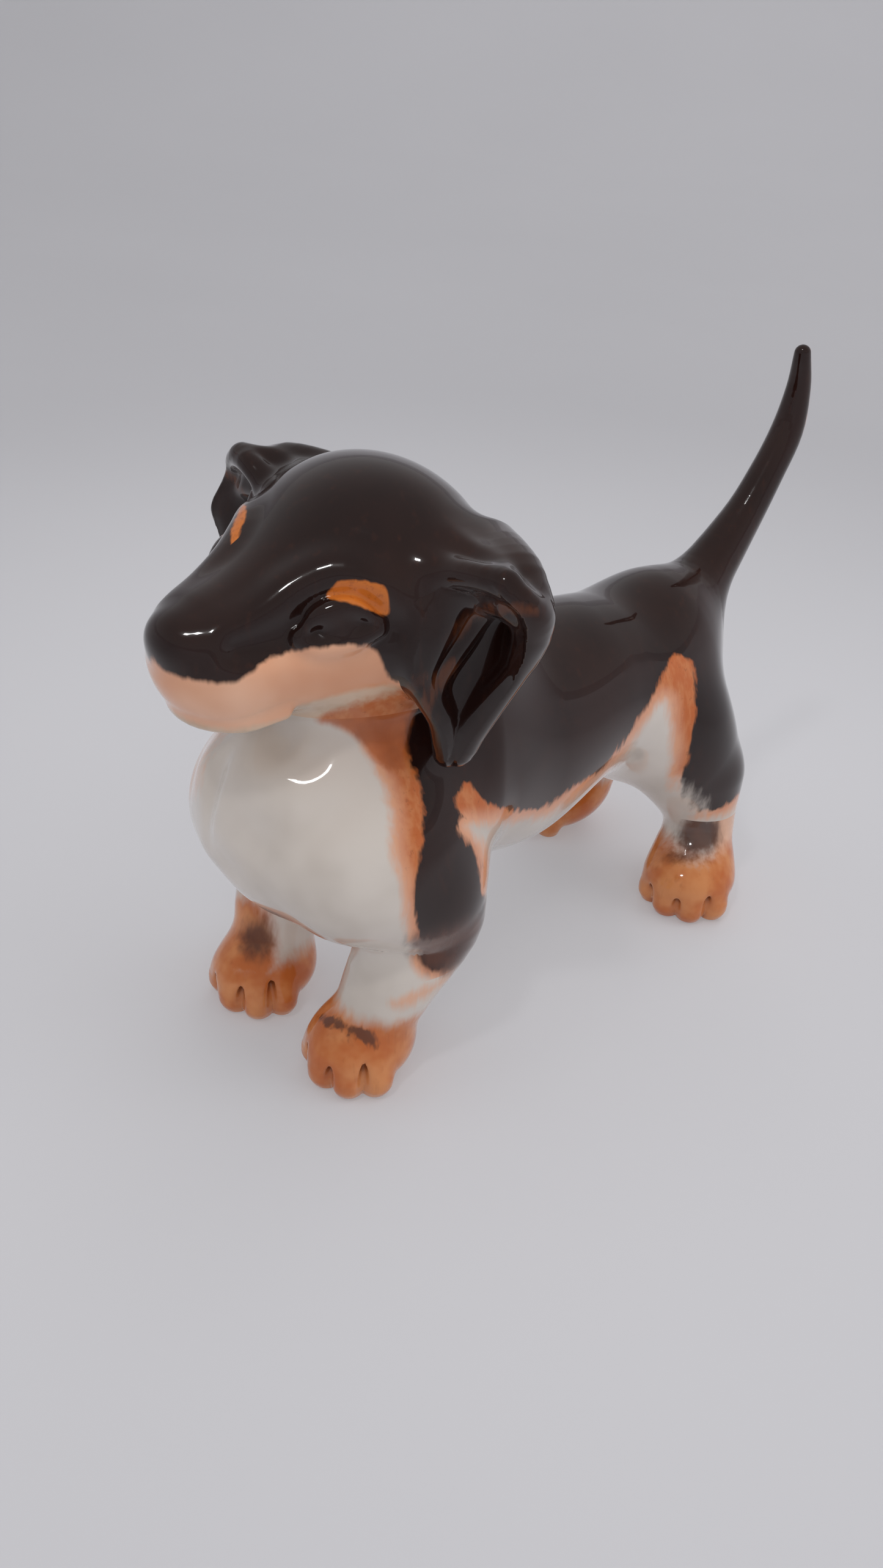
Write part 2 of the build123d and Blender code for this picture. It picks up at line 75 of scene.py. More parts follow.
def cone(P, a, b, ra, rb):
    a = np.array(a, float)
    b = np.array(b, float)
    ba = b - a
    l2 = ba @ ba
    rr = ra - rb
    a2 = l2 - rr * rr
    il2 = 1 / l2
    pa = P - a
    y = pa @ ba
    z = y - l2
    x2 = ((pa * l2 - np.outer(y, ba)) ** 2).sum(1)
    y2 = y * y * l2
    z2 = z * z * l2
    k = np.sign(rr) * rr * rr * x2
    d = (np.sqrt(np.maximum(x2 * a2 * il2, 0)) + y * rr) * il2 - ra
    m1 = np.sign(z) * a2 * z2 > k
    m2 = np.sign(y) * a2 * y2 < k
    return np.where(m1, np.sqrt(x2 + z2) * il2 - rb, np.where(m2, np.sqrt(x2 + y2) * il2 - ra, d))


def spline(pts, n):
    p = np.array(pts, float)
    p = np.vstack([2 * p[0] - p[1], p, 2 * p[-1] - p[-2]])
    out = []
    for i in range(1, len(p) - 2):
        t = np.linspace(0, 1, n, endpoint=False)[:, None]
        a, b, c, d = p[i - 1], p[i], p[i + 1], p[i + 2]
        out.append(0.5 * ((2 * b) + (-a + c) * t + (2 * a - 5 * b + 4 * c - d) * t ** 2
                          + (-a + 3 * b - 3 * c + d) * t ** 3))
    out.append(p[-2][None])
    return np.vstack(out)


def tube(P, pts, n=4):
    s = spline(pts, n)
    d = np.full(len(P), 1e9)
    for i in range(len(s) - 1):
        d = np.minimum(d, cone(P, s[i, :3], s[i + 1, :3], max(s[i, 3], .05), max(s[i + 1, 3], .05)))
    return d


def smin(a, b, k):
    h = np.clip(0.5 + 0.5 * (b - a) / k, 0, 1)
    return b * (1 - h) + a * h - k * h * (1 - h)


def smax(a, b, k):
    return -smin(-a, -b, k)


def interp(x, xs, ys):
    xs = np.array(xs, float)
    ys = np.array(ys, float)
    m = np.gradient(ys, xs)
    i = np.clip(np.searchsorted(xs, x) - 1, 0, len(xs) - 2)
    h = xs[i + 1] - xs[i]
    t = np.clip((x - xs[i]) / h, 0, 1)
    return ((2 * t ** 3 - 3 * t ** 2 + 1) * ys[i] + (t ** 3 - 2 * t ** 2 + t) * h * m[i]
            + (-2 * t ** 3 + 3 * t ** 2) * ys[i + 1] + (t ** 3 - t ** 2) * h * m[i + 1])


def lofty(P, tab):
    tab = np.array(tab, float)
    y = P[:, 1]
    yc = np.clip(y, tab[0, 0], tab[-1, 0])
    zc, a, t, b = [interp(yc, tab[:, 0], tab[:, j]) for j in (1, 2, 3, 4)]
    dz = P[:, 2] - zc
    bb = np.where(dz > 0, t, b)
    k0 = np.sqrt((P[:, 0] / a) ** 2 + (dz / bb) ** 2)
    k1 = np.sqrt((P[:, 0] / a ** 2) ** 2 + (dz / bb ** 2) ** 2) + 1e-9
    d = k0 * (k0 - 1) / k1
    d = np.where(k0 < 1e-6, -np.minimum(a, bb), d)
    e = np.maximum(tab[0, 0] - y, y - tab[-1, 0])
    return np.minimum(np.maximum(d, e), 0) + np.sqrt(np.maximum(d, 0) ** 2 + np.maximum(e, 0) ** 2)


def mir(P):
    Q = P.copy()
    Q[:, 0] = np.abs(Q[:, 0])
    return Q


def near(P, c, r):
    """Mask of the points within r of c, so that small features cost little."""
    return ((P - np.array(c, float)) ** 2).sum(1) < r * r


def part(P, d, mask, fn):
    """Apply a local feature fn(points, distances) to the masked points only."""
    if mask.any():
        d = d.copy()
        d[mask] = fn(P[mask], d[mask])
    return d

#SHAPE-BEGIN
# ---------------------------------------------------------------------------
# 2. the puppy
# ---------------------------------------------------------------------------
BAR = [(-12, 38.5, 13.4, 14.6, 18.8), (2, 35.5, 14.0, 14.6, 17.8), (16, 36.3, 12.8, 13.2, 13.4),
       (30, 34.2, 11.6, 12.3, 12.9), (36, 33.2, 9.2, 10.4, 11.0), (41, 32.4, 5.6, 6.8, 7.4)]


def torso(P):
    M = mir(P)
    d = ell(P, (0, -27.0, 34.2), (15.2, 15.6, 15.1), rot(18))
    d = smin(d, lofty(P, BAR), 7)
    d = smin(d, ell(P, (0, 30.6, 32.0), (11.4, 13.6, 14.1)), 6)
    d = smin(d, ell(M, (11.5, -26.5, 30.8), (7.4, 12.0, 9.6)), 6)
    d = smin(d, ell(M, (9.4, 33.8, 24.0), (7.0, 8.3, 12.9), rot(22)), 5)
    return relief(P, d)


# modelled lumps and dimples: centre, radius, depth (positive = hollow)
RELIEF = [((-4.3, -41.5, 39.5), (1.5, 3.0, 5.5), 0.75), ((-9.0, -40.0, 40.0), (3.6, 4.0, 4.5), -0.45), ((2.0, -36.0, 46.0), (1.9, 3.0, 1.7), 0.75),
          ((2.2, -39.0, 42.6), (3.6, 4.0, 2.6), -0.35), ((4.4, -41.0, 36.6), (3.2, 4.0, 3.0), 0.5), ((9.0, -40.0, 33.0), (3.2, 4.0, 4.0), -0.3),
          ((0.0, -42.5, 31.0), (3.4, 4.0, 2.8), 0.35), ((-6.5, -40.0, 29.0), (3.4, 4.0, 3.4), -0.3), ((11.0, -36.5, 41.0), (2.4, 4.0, 4.0), 0.3),
          ((6.0, -34.6, 45.0), (2.0, 3.0, 2.0), 0.35), ((-8.0, -36.5, 45.0), (2.4, 3.0, 2.4), 0.4), ((-12.5, -36.0, 34.0), (2.2, 4.0, 4.0), 0.35)]


def relief(P, d):
    def f(p, d):
        for c, r, a in RELIEF:
            q = (p - np.array(c)) / np.array(r)
            d = d + 1.5 * a * np.exp(-np.minimum((q * q).sum(1), 30.0))
        return d
    return part(P, d, P[:, 1] < -18, f)


def neck(P):
    return cone(P, (0, -14, 36.5), (0, -18, 56), 12.2, 11.5)


EYE_N = (0.78, -0.56, 0.28)


def head(P):
    M = mir(P)
    d = ell(P, (0, -21.5, 62.6), (16.0, 12.2, 13.1))
    Q = P.copy()
    Q[:, 0] /= 1.1
    d = smin(d, cone(Q, (0, -27, 60.5), (0, -42, 58.3), 9.7, 7.6), 9)

    def face(p, d):
        # brow ridge running down to the bridge of the muzzle
        d = smin(d, tube(p, [(3.6, -45.0, 62.0, 0.9), (4.9, -40.4, 63.9, 1.2), (5.4, -36.6, 66.0, 1.6), (7.2, -32.8, 67.4, 2.1),
                             (9.9, -30.6, 66.9, 2.0), (12.0, -29.2, 64.8, 1.3)], 3), 2.6)
        # socket: hollow below the brow, fading out forward along the muzzle
        d = smax(d, -tube(p, [(6.6, -44.2, 62.0, 0.2), (8.7, -40.0, 62.8, 1.1), (10.6, -36.3, 63.8, 2.1), (12.2, -33.5, 64.5, 2.1),
                              (14.4, -30.6, 63.8, 0.9)], 3), 3.0)
        # sleepy eye: soft eyeball between two rolled lids
        E = frame_of(EYE_N)
        d = smin(d, ell(p, (9.5, -34.1, 63.6), (2.5, 1.8, 1.7), E @ rot(0, 0, -14)), 1.1)
        d = smin(d, tube(p, [(8.3, -38.0, 62.6, 0.4), (9.2, -36.2, 64.6, 0.75), (10.8, -33.4, 65.4, 0.8), (12.6, -31.0, 63.8, 0.4)], 4), 1.3)
        d = smin(d, tube(p, [(8.2, -38.2, 61.9, 0.5), (9.3, -36.4, 61.3, 1.1), (10.9, -33.8, 61.7, 1.2), (12.7, -31.2, 62.9, 0.5)], 4), 1.2)
        # lip line, with the rim of the lower jaw below it
        d = smin(d, tube(p, [(-1.5, -46.9, 52.9, 0.8), (2.3, -46.2, 52.7, 0.8), (5.4, -43.0, 52.5, 0.8), (7.0, -39.0, 53.2, 0.6)], 4), 1.6)
        d = smax(d, -tube(p, [(-1.5, -49.1, 53.5, 0.40), (2.5, -48.4, 53.1, 0.40), (6.2, -45.0, 52.5, 0.36), (8.1, -40, 53.0, 0.30), (10.2, -34.8, 54.9, 0.25),
                              (13.0, -31.2, 56.3, 0.1)], 4), 0.4)
        # nose pad
        d = smin(d, ell(p, (0, -47.2, 61.2), (3.9, 2.9, 2.9)), 1.6)
        return d
    m = (M[:, 1] < -24) & (np.abs(d) < 6)
    return part(M, d, m, face)


EAR = [(47.0, 15.6, -22.9, 16.4, -22.1, 0.3, 1.5),
       (50.0, 15.9, -23.9, 17.7, -21.8, 0.6, 1.9),
       (54.3, 15.4, -25.9, 19.8, -21.0, 1.8, 1.8),
       (59.2, 14.2, -27.2, 22.4, -20.4, 4.3, 1.7),
       (63.8, 14.5, -24.6, 24.6, -20.8, 4.6, 1.7),
       (67.6, 14.5, -22.6, 25.0, -21.9, 3.2, 1.9),
       (70.0, 12.5, -22.0, 22.6, -23.4, 1.2, 1.9)]
EAR_RIM = [(15.6, -22.9, 46.7, 1.5), (16.7, -22.1, 47.8, 1.75), (17.7, -21.8, 50.4, 1.8), (19.7, -21.0, 54.3, 1.5), (22.4, -20.4, 59.2, 1.15),
           (24.5, -20.6, 63.6, 1.1), (25.2, -21.6, 66.4, 1.15), (24.4, -23.0, 68.6, 1.3), (21.6, -24.0, 69.6, 1.4), (17.8, -24.4, 69.1, 1.6),
           (13.6, -24.2, 67.7, 2.2)]
EAR_FRONT = [(15.6, -22.9, 46.7, 1.5), (15.8, -23.6, 49.0, 1.55), (15.9, -24.6, 52.0, 1.4), (15.2, -26.2, 55.0, 1.2), (14.8, -27.0, 57.6, 1.2),
             (15.2, -26.2, 61.0, 1.3), (15.7, -25.0, 64.0, 1.5), (16.4, -24.4, 67.0, 1.7)]
EAR_FOLD = [(23.6, -21.2, 66.4, 0.4), (20.6, -20.9, 66.0, 0.55), (18.4, -21.2, 64.2, 0.6), (17.0, -22.4, 61.4, 0.65), (16.2, -24.0, 58.9, 0.7),
            (15.8, -25.0, 56.4, 0.6), (15.8, -25.2, 53.6, 0.4)]
EAR_BACK = [(12.5, -15.5, 68.0, 3.2), (17.0, -17.6, 68.6, 2.8), (20.8, -19.2, 68.2, 2.5), (22.8, -19.8, 65.6, 2.0), (22.4, -19.4, 61.6, 1.0)]
EAR_FILL = [(10.0, -20.5, 66.5, 4.6), (14.6, -20.6, 66.8, 3.8), (18.6, -21.2, 67.2, 2.6), (21.6, -21.6, 67.0, 1.9)]


def ear(P):
    """Flap hanging outward from the skull: a hollow web inside a rolled rim, with one inner fold."""
    M = mir(P)
    # the right ear swings a little further forward
    w = np.where(P[:, 0] < 0, np.clip((M[:, 0] - 13.0) / 6.0, 0, 1), 0.0)
    w = w * w * (3 - 2 * w)
    low = np.clip((69.0 - M[:, 2]) / 7.0, 0, 1)
    low = low * low * (3 - 2 * low)
    M[:, 0] += w * (2.0 - 2.9 * low)
    M[:, 1] += w * (1.0 + 2.8 * low)
    M[:, 2] -= 1.1 * w
    T = np.array(EAR, float)
    z = M[:, 2]
    zc = np.clip(z, T[0, 0], T[-1, 0])
    fx, fy, rx, ry, b, t = [interp(zc, T[:, 0], T[:, j]) for j in range(1, 7)]
    cx, cy = rx - fx, ry - fy
    L = np.sqrt(cx * cx + cy * cy)
    dx, dy = M[:, 0] - fx, M[:, 1] - fy
    u = (dx * cx + dy * cy) / L ** 2
    v = (-dx * cy + dy * cx) / L
    uc = np.clip(u, 0, 1)
    vc = b * 4 * uc * (1 - uc)
    sl = 4 * b * (1 - 2 * uc) / L
    w = np.sqrt(((u - uc) * L) ** 2 + ((v - vc) ** 2) / (1 + sl * sl) + (z - zc) ** 2) - 0.95
    d = smin(w, np.minimum(tube(M, EAR_RIM, 3), tube(M, EAR_FRONT, 3)), 1.4)
    d = smin(d, tube(M, EAR_FOLD, 3), 0.9)
    d = smin(d, tube(M, EAR_FILL, 3), 1.6)
    return smin(d, tube(M, EAR_BACK, 3), 2.6)


def tail(P):
    return tube(P, [(0, 33.5, 42.5, 6), (0, 41.5, 45.2, 4.6), (0, 50.2, 53.5, 3.1), (0, 55.0, 60.0, 2.6),
                    (0, 58.4, 66.1, 2.4), (0, 59.2, 72.2, 1.8), (0, 58.4, 77.4, 1.2)], 5)


def toes(P, d, cx, cy, R, angs, r, top):
    """Four long toes fanned about (cx, cy), split by grooves that run up the paw."""
    m = (P[:, 2] < 12) & (np.abs(d) < 5)

    def f(p, d):
        t = np.full(len(p), 1e9)
        for a, rr in zip(angs, r):
            s, c = math.sin(math.radians(a)), math.cos(math.radians(a))
            t = np.minimum(t, tube(p, [(cx + R * 0.30 * s, cy - R * 0.30 * c, top, rr * 0.9), (cx + R * 0.78 * s, cy - R * 0.78 * c, top * 0.78, rr),
                                       (cx + R * 1.02 * s, cy - R * 1.02 * c, top * 0.42, rr * 1.02), (cx + R * 1.0 * s, cy - R * 1.0 * c, 1.3, rr * 0.9)], 3))
        d = smin(d, t, 0.8)
        for i in range(3):
            a = 0.5 * (angs[i] + angs[i + 1])
            s, c = math.sin(math.radians(a)), math.cos(math.radians(a))
            d = smax(d, -tube(p, [(cx + R * 0.52 * s, cy - R * 0.52 * c, top + r[i] * 0.66, 0.3), (cx + R * 1.10 * s, cy - R * 1.10 * c, top * 0.92, 0.35),
                                  (cx + R * 1.39 * s, cy - R * 1.39 * c, top * 0.4, 0.35), (cx + R * 1.38 * s, cy - R * 1.38 * c, 0.0, 0.22)], 3), 1.0)
        return d
    return part(P, d, m, f)


def fl(M, dx, dy, angs):
    def g(x, y, z, k, r=()):
        return (x + dx * k, y + dy * k, z) + tuple(r)
    d = tube(M, [(11.7, -22.2, 25.2, 8.0), (12.0, -21.3, 21, 7.2), g(11.8, -25.8, 14.0, .5, (6.0,)),
                 g(10.3, -28.9, 5, 1, (4.9,))], 4)
    d = smin(d, ell(M, g(10.4, -29.8, 4.2, 1), (6.5, 7.2, 4.8)), 3)
    return toes(M, d, 10.3 + dx, -29.6 + dy, 5.3, angs, (2.1, 2.4, 2.4, 2.3), 5.9)


def foreleg(P):
    d = fl(P, 0, 0, (-42, 0, 36, 72))
    R = P.copy()
    R[:, 0] = -R[:, 0]
    return np.minimum(d, fl(R, -1.2, -0.8, (-78, -44, -8, 36)))


def hindleg(P):
    M = mir(P)
    d = tube(M, [(11.2, 37.3, 20, 5.2), (11.6, 37.4, 12.3, 5.2), (12.2, 36.3, 8, 5.6)], 4)
    d = smin(d, ell(M, (14.4, 32.9, 4.7), (6.9, 7.3, 5.1)), 3)
    return toes(M, d, 14.2, 33.4, 5.5, (-32, 6, 42, 80), (2.2, 2.4, 2.4, 2.3), 6.0)


def fused(P):
    y, z = P[:, 1], P[:, 2]
    far = 9.0
    d = np.full(len(P), 1e3)
    a = torso(P)
    a = smin(a, neck(P), 8)
    m = y > 14
    a = part(P, a, m, lambda p, q: smin(q, tail(p), 8.5))
    m = (y < 8) & (z > 36)
    a = part(P, a, m, lambda p, q: smin(q, head(p), 5))
    m = (y < -8) & (z > 38) & (np.abs(P[:, 0]) > 4)
    a = part(P, a, m, lambda p, q: smin(q, ear(p), 3.0))
    m = (y < 0) & (z < 36)
    a = part(P, a, m, lambda p, q: smin(q, foreleg(p), 4))
    m = (y > 12) & (z < 32)
    a = part(P, a, m, lambda p, q: smin(q, hindleg(p), 3.2))
    return smax(a, -z, 0.5)
#SHAPE-END

# ---------------------------------------------------------------------------
# 3. surface meshing: sparse grid, surface nets, projection on the surface
# ---------------------------------------------------------------------------

def grid_eval(f, lo, hi, h, coarse=4):
    lo = np.array(lo, float)
    hi = np.array(hi, float)
    n = (np.ceil((hi - lo) / (h * coarse)).astype(int)) * coarse + 1
    nc = (n - 1) // coarse + 1
    ax = [lo[i] + h * coarse * np.arange(nc[i]) for i in range(3)]
    G = np.stack(np.meshgrid(*ax, indexing='ij'), -1).reshape(-1, 3)
    A = f(G).reshape(nc)
    band = h * coarse * 1.9
    for i in range(3):
        A = np.moveaxis(A, i, 0)
        B = np.empty(((A.shape[0] - 1) * coarse + 1,) + A.shape[1:])
        for j in range(coarse):
            t = j / coarse
            B[j:-1:coarse][:A.shape[0] - 1] = A[:-1] * (1 - t) + A[1:] * t
        B[-1] = A[-1]
        A = np.moveaxis(B, 0, i)
    m = np.abs(A) < band
    P = lo + h * np.argwhere(m)
    V = np.empty(len(P))
    for s in range(0, len(P), 300000):
        V[s:s + 300000] = f(P[s:s + 300000])
    A = A.copy()
    A[m] = V
    return lo, h, A


def surface_nets(lo, h, A):
    s = A < 0
    n = np.array(A.shape)
    c = [s[i:n[0] - 1 + i, j:n[1] - 1 + j, k:n[2] - 1 + k] for i in (0, 1) for j in (0, 1) for k in (0, 1)]
    cnt = sum(x.astype(np.int8) for x in c)
    act = (cnt > 0) & (cnt < 8)
    idx = np.argwhere(act)
    vid = -np.ones(act.shape, np.int64)
    vid[act] = np.arange(len(idx))
    acc = np.zeros((len(idx), 3))
    w = np.zeros(len(idx))
    off = [(i, j, k) for i in (0, 1) for j in (0, 1) for k in (0, 1)]
    val = [A[idx[:, 0] + o[0], idx[:, 1] + o[1], idx[:, 2] + o[2]] for o in off]
    for a in range(8):
        for b in range(a + 1, 8):
            oa, ob = np.array(off[a]), np.array(off[b])
            if np.abs(oa - ob).sum() != 1:
                continue
            va, vb = val[a], val[b]
            cr = (va < 0) != (vb < 0)
            t = np.where(cr, va / np.where(cr, va - vb, 1), 0)
            acc += np.where(cr[:, None], oa + (ob - oa) * t[:, None], 0)
            w += cr
    V = lo + h * (idx + acc / w[:, None])
    F = []
    for ax in range(3):
        u, v = (ax + 1) % 3, (ax + 2) % 3
        sl = [slice(1, -1)] * 3
        sl[ax] = slice(0, -1)
        sl2 = list(sl)
        sl2[ax] = slice(1, None)
        a = s[tuple(sl)]
        b = s[tuple(sl2)]
        e = np.argwhere(a != b)
        e[:, u] += 1
        e[:, v] += 1
        ins = s[e[:, 0], e[:, 1], e[:, 2]]

        def g(du, dv):
            q = e.copy()
            q[:, u] -= du
            q[:, v] -= dv
            return vid[q[:, 0], q[:, 1], q[:, 2]]
        q = np.stack([g(1, 1), g(0, 1), g(0, 0), g(1, 0)], 1)
        q[~ins] = q[~ins][:, ::-1]
        F.append(q)
    F = np.vstack(F)
    return V, F[(F >= 0).all(1)]


def grad(f, V, e=0.03):
    g = np.empty_like(V)
    for i in range(3):
        o = np.zeros(3)
        o[i] = e
        g[:, i] = (f(V + o) - f(V - o)) / (2 * e)
    return g


def project(f, V, it=3):
    for _ in range(it):
        d = f(V)
        g = grad(f, V)
        V = V - (np.clip(d, -0.5, 0.5) / np.maximum((g * g).sum(1), 0.1))[:, None] * g
    return V


def clip(V, T, s):
    """Keep the part of triangle mesh (V, T) where s < 0; returns new V and T."""
    s = np.where(np.abs(s) < 1e-7, -1e-7, s)
    ins = s < 0
    k = ins[T].sum(1)
    keep = T[k == 3]
    newV = []
    key = {}
    out = [keep]
    base = len(V)
    extra = []

    def cut(a, b):
        q = (a, b) if a < b else (b, a)
        if q not in key:
            t = s[q[0]] / (s[q[0]] - s[q[1]])
            key[q] = base + len(newV)
            newV.append(V[q[0]] * (1 - t) + V[q[1]] * t)
        return key[q]
    for t in T[(k == 1) | (k == 2)].tolist():
        inn = [ins[i] for i in t]
        if sum(inn) == 1:
            i = inn.index(True)
            a, b, c = t[i], t[(i + 1) % 3], t[(i + 2) % 3]
            extra.append((a, cut(a, b), cut(a, c)))
        else:
            i = inn.index(False)
            a, b, c = t[i], t[(i + 1) % 3], t[(i + 2) % 3]
            ab, ac = cut(a, b), cut(a, c)
            extra.append((ab, b, c))
            extra.append((ab, c, ac))
    V2 = np.vstack([V, np.array(newV).reshape(-1, 3)])
    T2 = np.vstack([keep, np.array(extra, dtype=np.int64).reshape(-1, 3)])
    used, inv = np.unique(T2, return_inverse=True)
    return V2[used], inv.reshape(-1, 3)


def components(nv, T):
    lab = np.arange(nv)
    while True:
        m = np.minimum(np.minimum(lab[T[:, 0]], lab[T[:, 1]]), lab[T[:, 2]])
        new = lab.copy()
        for j in range(3):
            np.minimum.at(new, T[:, j], m)
        new = new[new]
        if (new == lab).all():
            return lab
        lab = new


def loops_of(T):
    e = np.vstack([T[:, [0, 1]], T[:, [1, 2]], T[:, [2, 0]]])
    fw = set(map(tuple, e.tolist()))
    nxt = {a: b for a, b in fw if (b, a) not in fw}
    out = []
    while nxt:
        a = next(iter(nxt))
        loop = [a]
        b = nxt.pop(a)
        while b != a and b in nxt:
            loop.append(b)
            b = nxt.pop(b)
        if b == a:
            out.append(loop)
    return out


def mesh_piece(lo, hi, h, cells, seed=None):
    """Mesh the fused figure in a box, keep the part where every cell function is negative."""
    L, hh, A = grid_eval(fused, lo, hi, h)
    V, F = surface_nets(L, hh, A)
    V = project(fused, V, 3)
    T = np.vstack([F[:, [0, 1, 2]], F[:, [0, 2, 3]]])
    # shorter diagonal
    d1 = np.linalg.norm(V[F[:, 0]] - V[F[:, 2]], axis=1)
    d2 = np.linalg.norm(V[F[:, 1]] - V[F[:, 3]], axis=1)
    a = d1 <= d2
    T = np.vstack([F[a][:, [0, 1, 2]], F[a][:, [0, 2, 3]], F[~a][:, [0, 1, 3]], F[~a][:, [1, 2, 3]]])
    for c in cells:
        V, T = clip(V, T, c(V))
    lab = components(len(V), T)
    tl = lab[T[:, 0]]
    ids, cnt = np.unique(tl, return_counts=True)
    if seed is None:
        keep = ids[cnt.argmax()]
    else:
        best = None
        for i, c in zip(ids, cnt):
            if c < 50:
                continue
            cen = V[T[tl == i]].mean((0, 1))
            dd = np.linalg.norm(cen - np.array(seed))
            if best is None or dd < best[0]:
                best = (dd, i)
        keep = best[1]
    T = T[tl == keep]
    used, inv = np.unique(T, return_inverse=True)
    V, T = V[used], inv.reshape(-1, 3)
    return V, T

# ---------------------------------------------------------------------------
# 4. paint layout: signed distances (mm, negative inside) laid out on the
#    puppy's left side as seen from the front-left, mirrored to the right side
# ---------------------------------------------------------------------------
EYEPOINT = np.array([102.763, -109.757, 119.380])
AZ, EL, ROLL, FOC = 0.790833, 0.557633, 0.072768, 2100.0
BACK = np.array([math.sin(AZ) * math.cos(EL), -math.cos(AZ) * math.cos(EL), math.sin(EL)])
RGT0 = np.array([math.cos(AZ), math.sin(AZ), 0.0])
UP0 = np.cross(BACK, RGT0)
RGT = math.cos(ROLL) * RGT0 + math.sin(ROLL) * UP0
UPV = -math.sin(ROLL) * RGT0 + math.cos(ROLL) * UP0


def sheet_uv(P):
    """Position on the paint sheet, a plane facing the front-left viewpoint."""
    d = P - EYEPOINT
    z = -(d @ BACK)
    return np.stack([722.5 + FOC * (d @ RGT) / z, 1283.5 - FOC * (d @ UPV) / z], 1), z


def poly_sd(uv, poly):
    """Signed distance to a closed polygon, negative inside, in sheet units."""
    p = np.array(poly, float)
    q = np.roll(p, -1, 0)
    best = np.full(len(uv), 1e18)
    inside = np.zeros(len(uv), bool)
    for a, b in zip(p, q):
        e = b - a
        w = uv - a
        t = np.clip((w @ e) / (e @ e + 1e-12), 0, 1)
        dd = ((w - t[:, None] * e) ** 2).sum(1)
        best = np.minimum(best, dd)
        c1 = (a[1] <= uv[:, 1]) & (b[1] > uv[:, 1])
        c2 = (b[1] <= uv[:, 1]) & (a[1] > uv[:, 1])
        cr = e[0] * w[:, 1] - e[1] * w[:, 0]
        inside ^= (c1 & (cr > 0)) | (c2 & (cr < 0))
    s = np.sqrt(best)
    return np.where(inside, -s, s)


def closed(pts, n=4):
    """Smooth closed outline through the points."""
    p = np.array(pts, float)
    m = len(p)
    out = []
    for i in range(m):
        a, b, c, d = p[i - 1], p[i], p[(i + 1) % m], p[(i + 2) % m]
        for k in range(n):
            t = k / n
            out.append(0.5 * ((2 * b) + (-a + c) * t + (2 * a - 5 * b + 4 * c - d) * t * t + (-a + 3 * b - 3 * c + d) * t ** 3))
    return np.array(out)


MUZZLE = [(190, 1060), (222, 1035), (240, 1062), (255, 1085), (277, 1103), (328, 1114), (379, 1117), (400, 1110), (414, 1098), (440, 1078), (470, 1068),
          (506, 1063), (557, 1058), (598, 1058), (618, 1068), (634, 1100), (650, 1120), (680, 1128), (676, 1150), (600, 1175), (540, 1190),
          (486, 1215), (350, 1260), (200, 1220), (170, 1130)]
BROWMARK = [(535, 977), (545, 962), (557, 951), (588, 950), (612, 956), (630, 962), (637, 985), (634, 1008), (608, 1000), (585, 990), (560, 984)]
CHESTW = [(150, 1150), (400, 1100), (500, 1120), (532, 1160), (561, 1187), (587, 1208), (606, 1246), (628, 1287), (639, 1335), (643, 1402), (654, 1446), (663, 1502),
          (668, 1540), (674, 1575), (694, 1600), (730, 1606), (725, 1614), (690, 1622), (645, 1636), (600, 1645), (565, 1642), (540, 1632), (440, 1640), (150, 1640)]
CHESTO = [(150, 1120), (400, 1060), (560, 1080), (650, 1110), (676, 1140), (662, 1180), (658, 1220), (672, 1246), (690, 1298), (691, 1372), (681, 1428), (672, 1483),
          (674, 1530), (680, 1575), (696, 1602), (700, 1660), (640, 1800), (400, 1850), (150, 1800)]
THROAT = [(520, 1178), (560, 1158), (610, 1146), (655, 1130), (690, 1126), (668, 1190), (664, 1250), (640, 1262), (606, 1236), (580, 1206), (550, 1190)]
FARBROW = [(380, 890), (378, 868), (386, 846), (394, 828), (402, 828), (402, 846), (394, 868), (388, 888)]
FARCHEST = [(290, 1290), (300, 1236), (330, 1200), (368, 1180), (378, 1192), (350, 1216), (332, 1246), (322, 1290), (306, 1310)]
FARPAW = [(370, 1470), (425, 1480), (448, 1530), (452, 1580), (440, 1604), (380, 1600), (330, 1620), (320, 1540)]
PAWMARK = [(528, 1668), (548, 1680), (564, 1688), (571, 1708), (579, 1692), (598, 1698), (612, 1716), (608, 1694), (588, 1682), (562, 1676), (542, 1664)]
FLANKW = [(764, 1352), (790, 1352), (819, 1348), (850, 1344), (896, 1334), (947, 1302), (1011, 1252), (1050, 1195), (1088, 1146), (1095, 1185), (1101, 1229),
          (1094, 1262), (1096, 1300), (1112, 1330), (1150, 1340), (1190, 1334), (1240, 1306), (1240, 1420), (1000, 1420), (900, 1440), (808, 1460),
          (803, 1420), (793, 1385), (778, 1366)]
FLANKO = [(745, 1310), (766, 1284), (800, 1316), (845, 1326), (896, 1320), (950, 1290), (1012, 1224), (1060, 1150), (1098, 1078), (1116, 1076), (1133, 1092),
          (1136, 1152), (1129, 1229), (1115, 1268), (1112, 1300), (1128, 1344), (1160, 1358), (1195, 1350), (1240, 1322), (1240, 1440), (1000, 1440),
          (900, 1450), (806, 1500), (799, 1440), (786, 1392), (764, 1352)]
ELBOW = [(672, 1538), (682, 1566), (704, 1588), (738, 1592), (768, 1574), (795, 1540), (815, 1502), (780, 1504), (720, 1528)]
WRISTS = [[(745, 1578), (715, 1606), (670, 1626), (640, 1640), (650, 1652), (695, 1634), (735, 1606)],
          [(760, 1600), (735, 1640), (690, 1668), (650, 1680), (655, 1700), (705, 1690), (750, 1650)]]
SMEAR = [[(800, 990), (868, 995), (870, 1004), (812, 1003), (780, 1012), (745, 1046), (728, 1060), (738, 1034), (768, 1004)],
         [(740, 1080), (700, 1120), (686, 1170), (692, 1220), (708, 1240), (702, 1190), (712, 1140), (748, 1094)],
         [(690, 1100), (664, 1128), (656, 1180), (664, 1190), (674, 1140), (700, 1112)]]
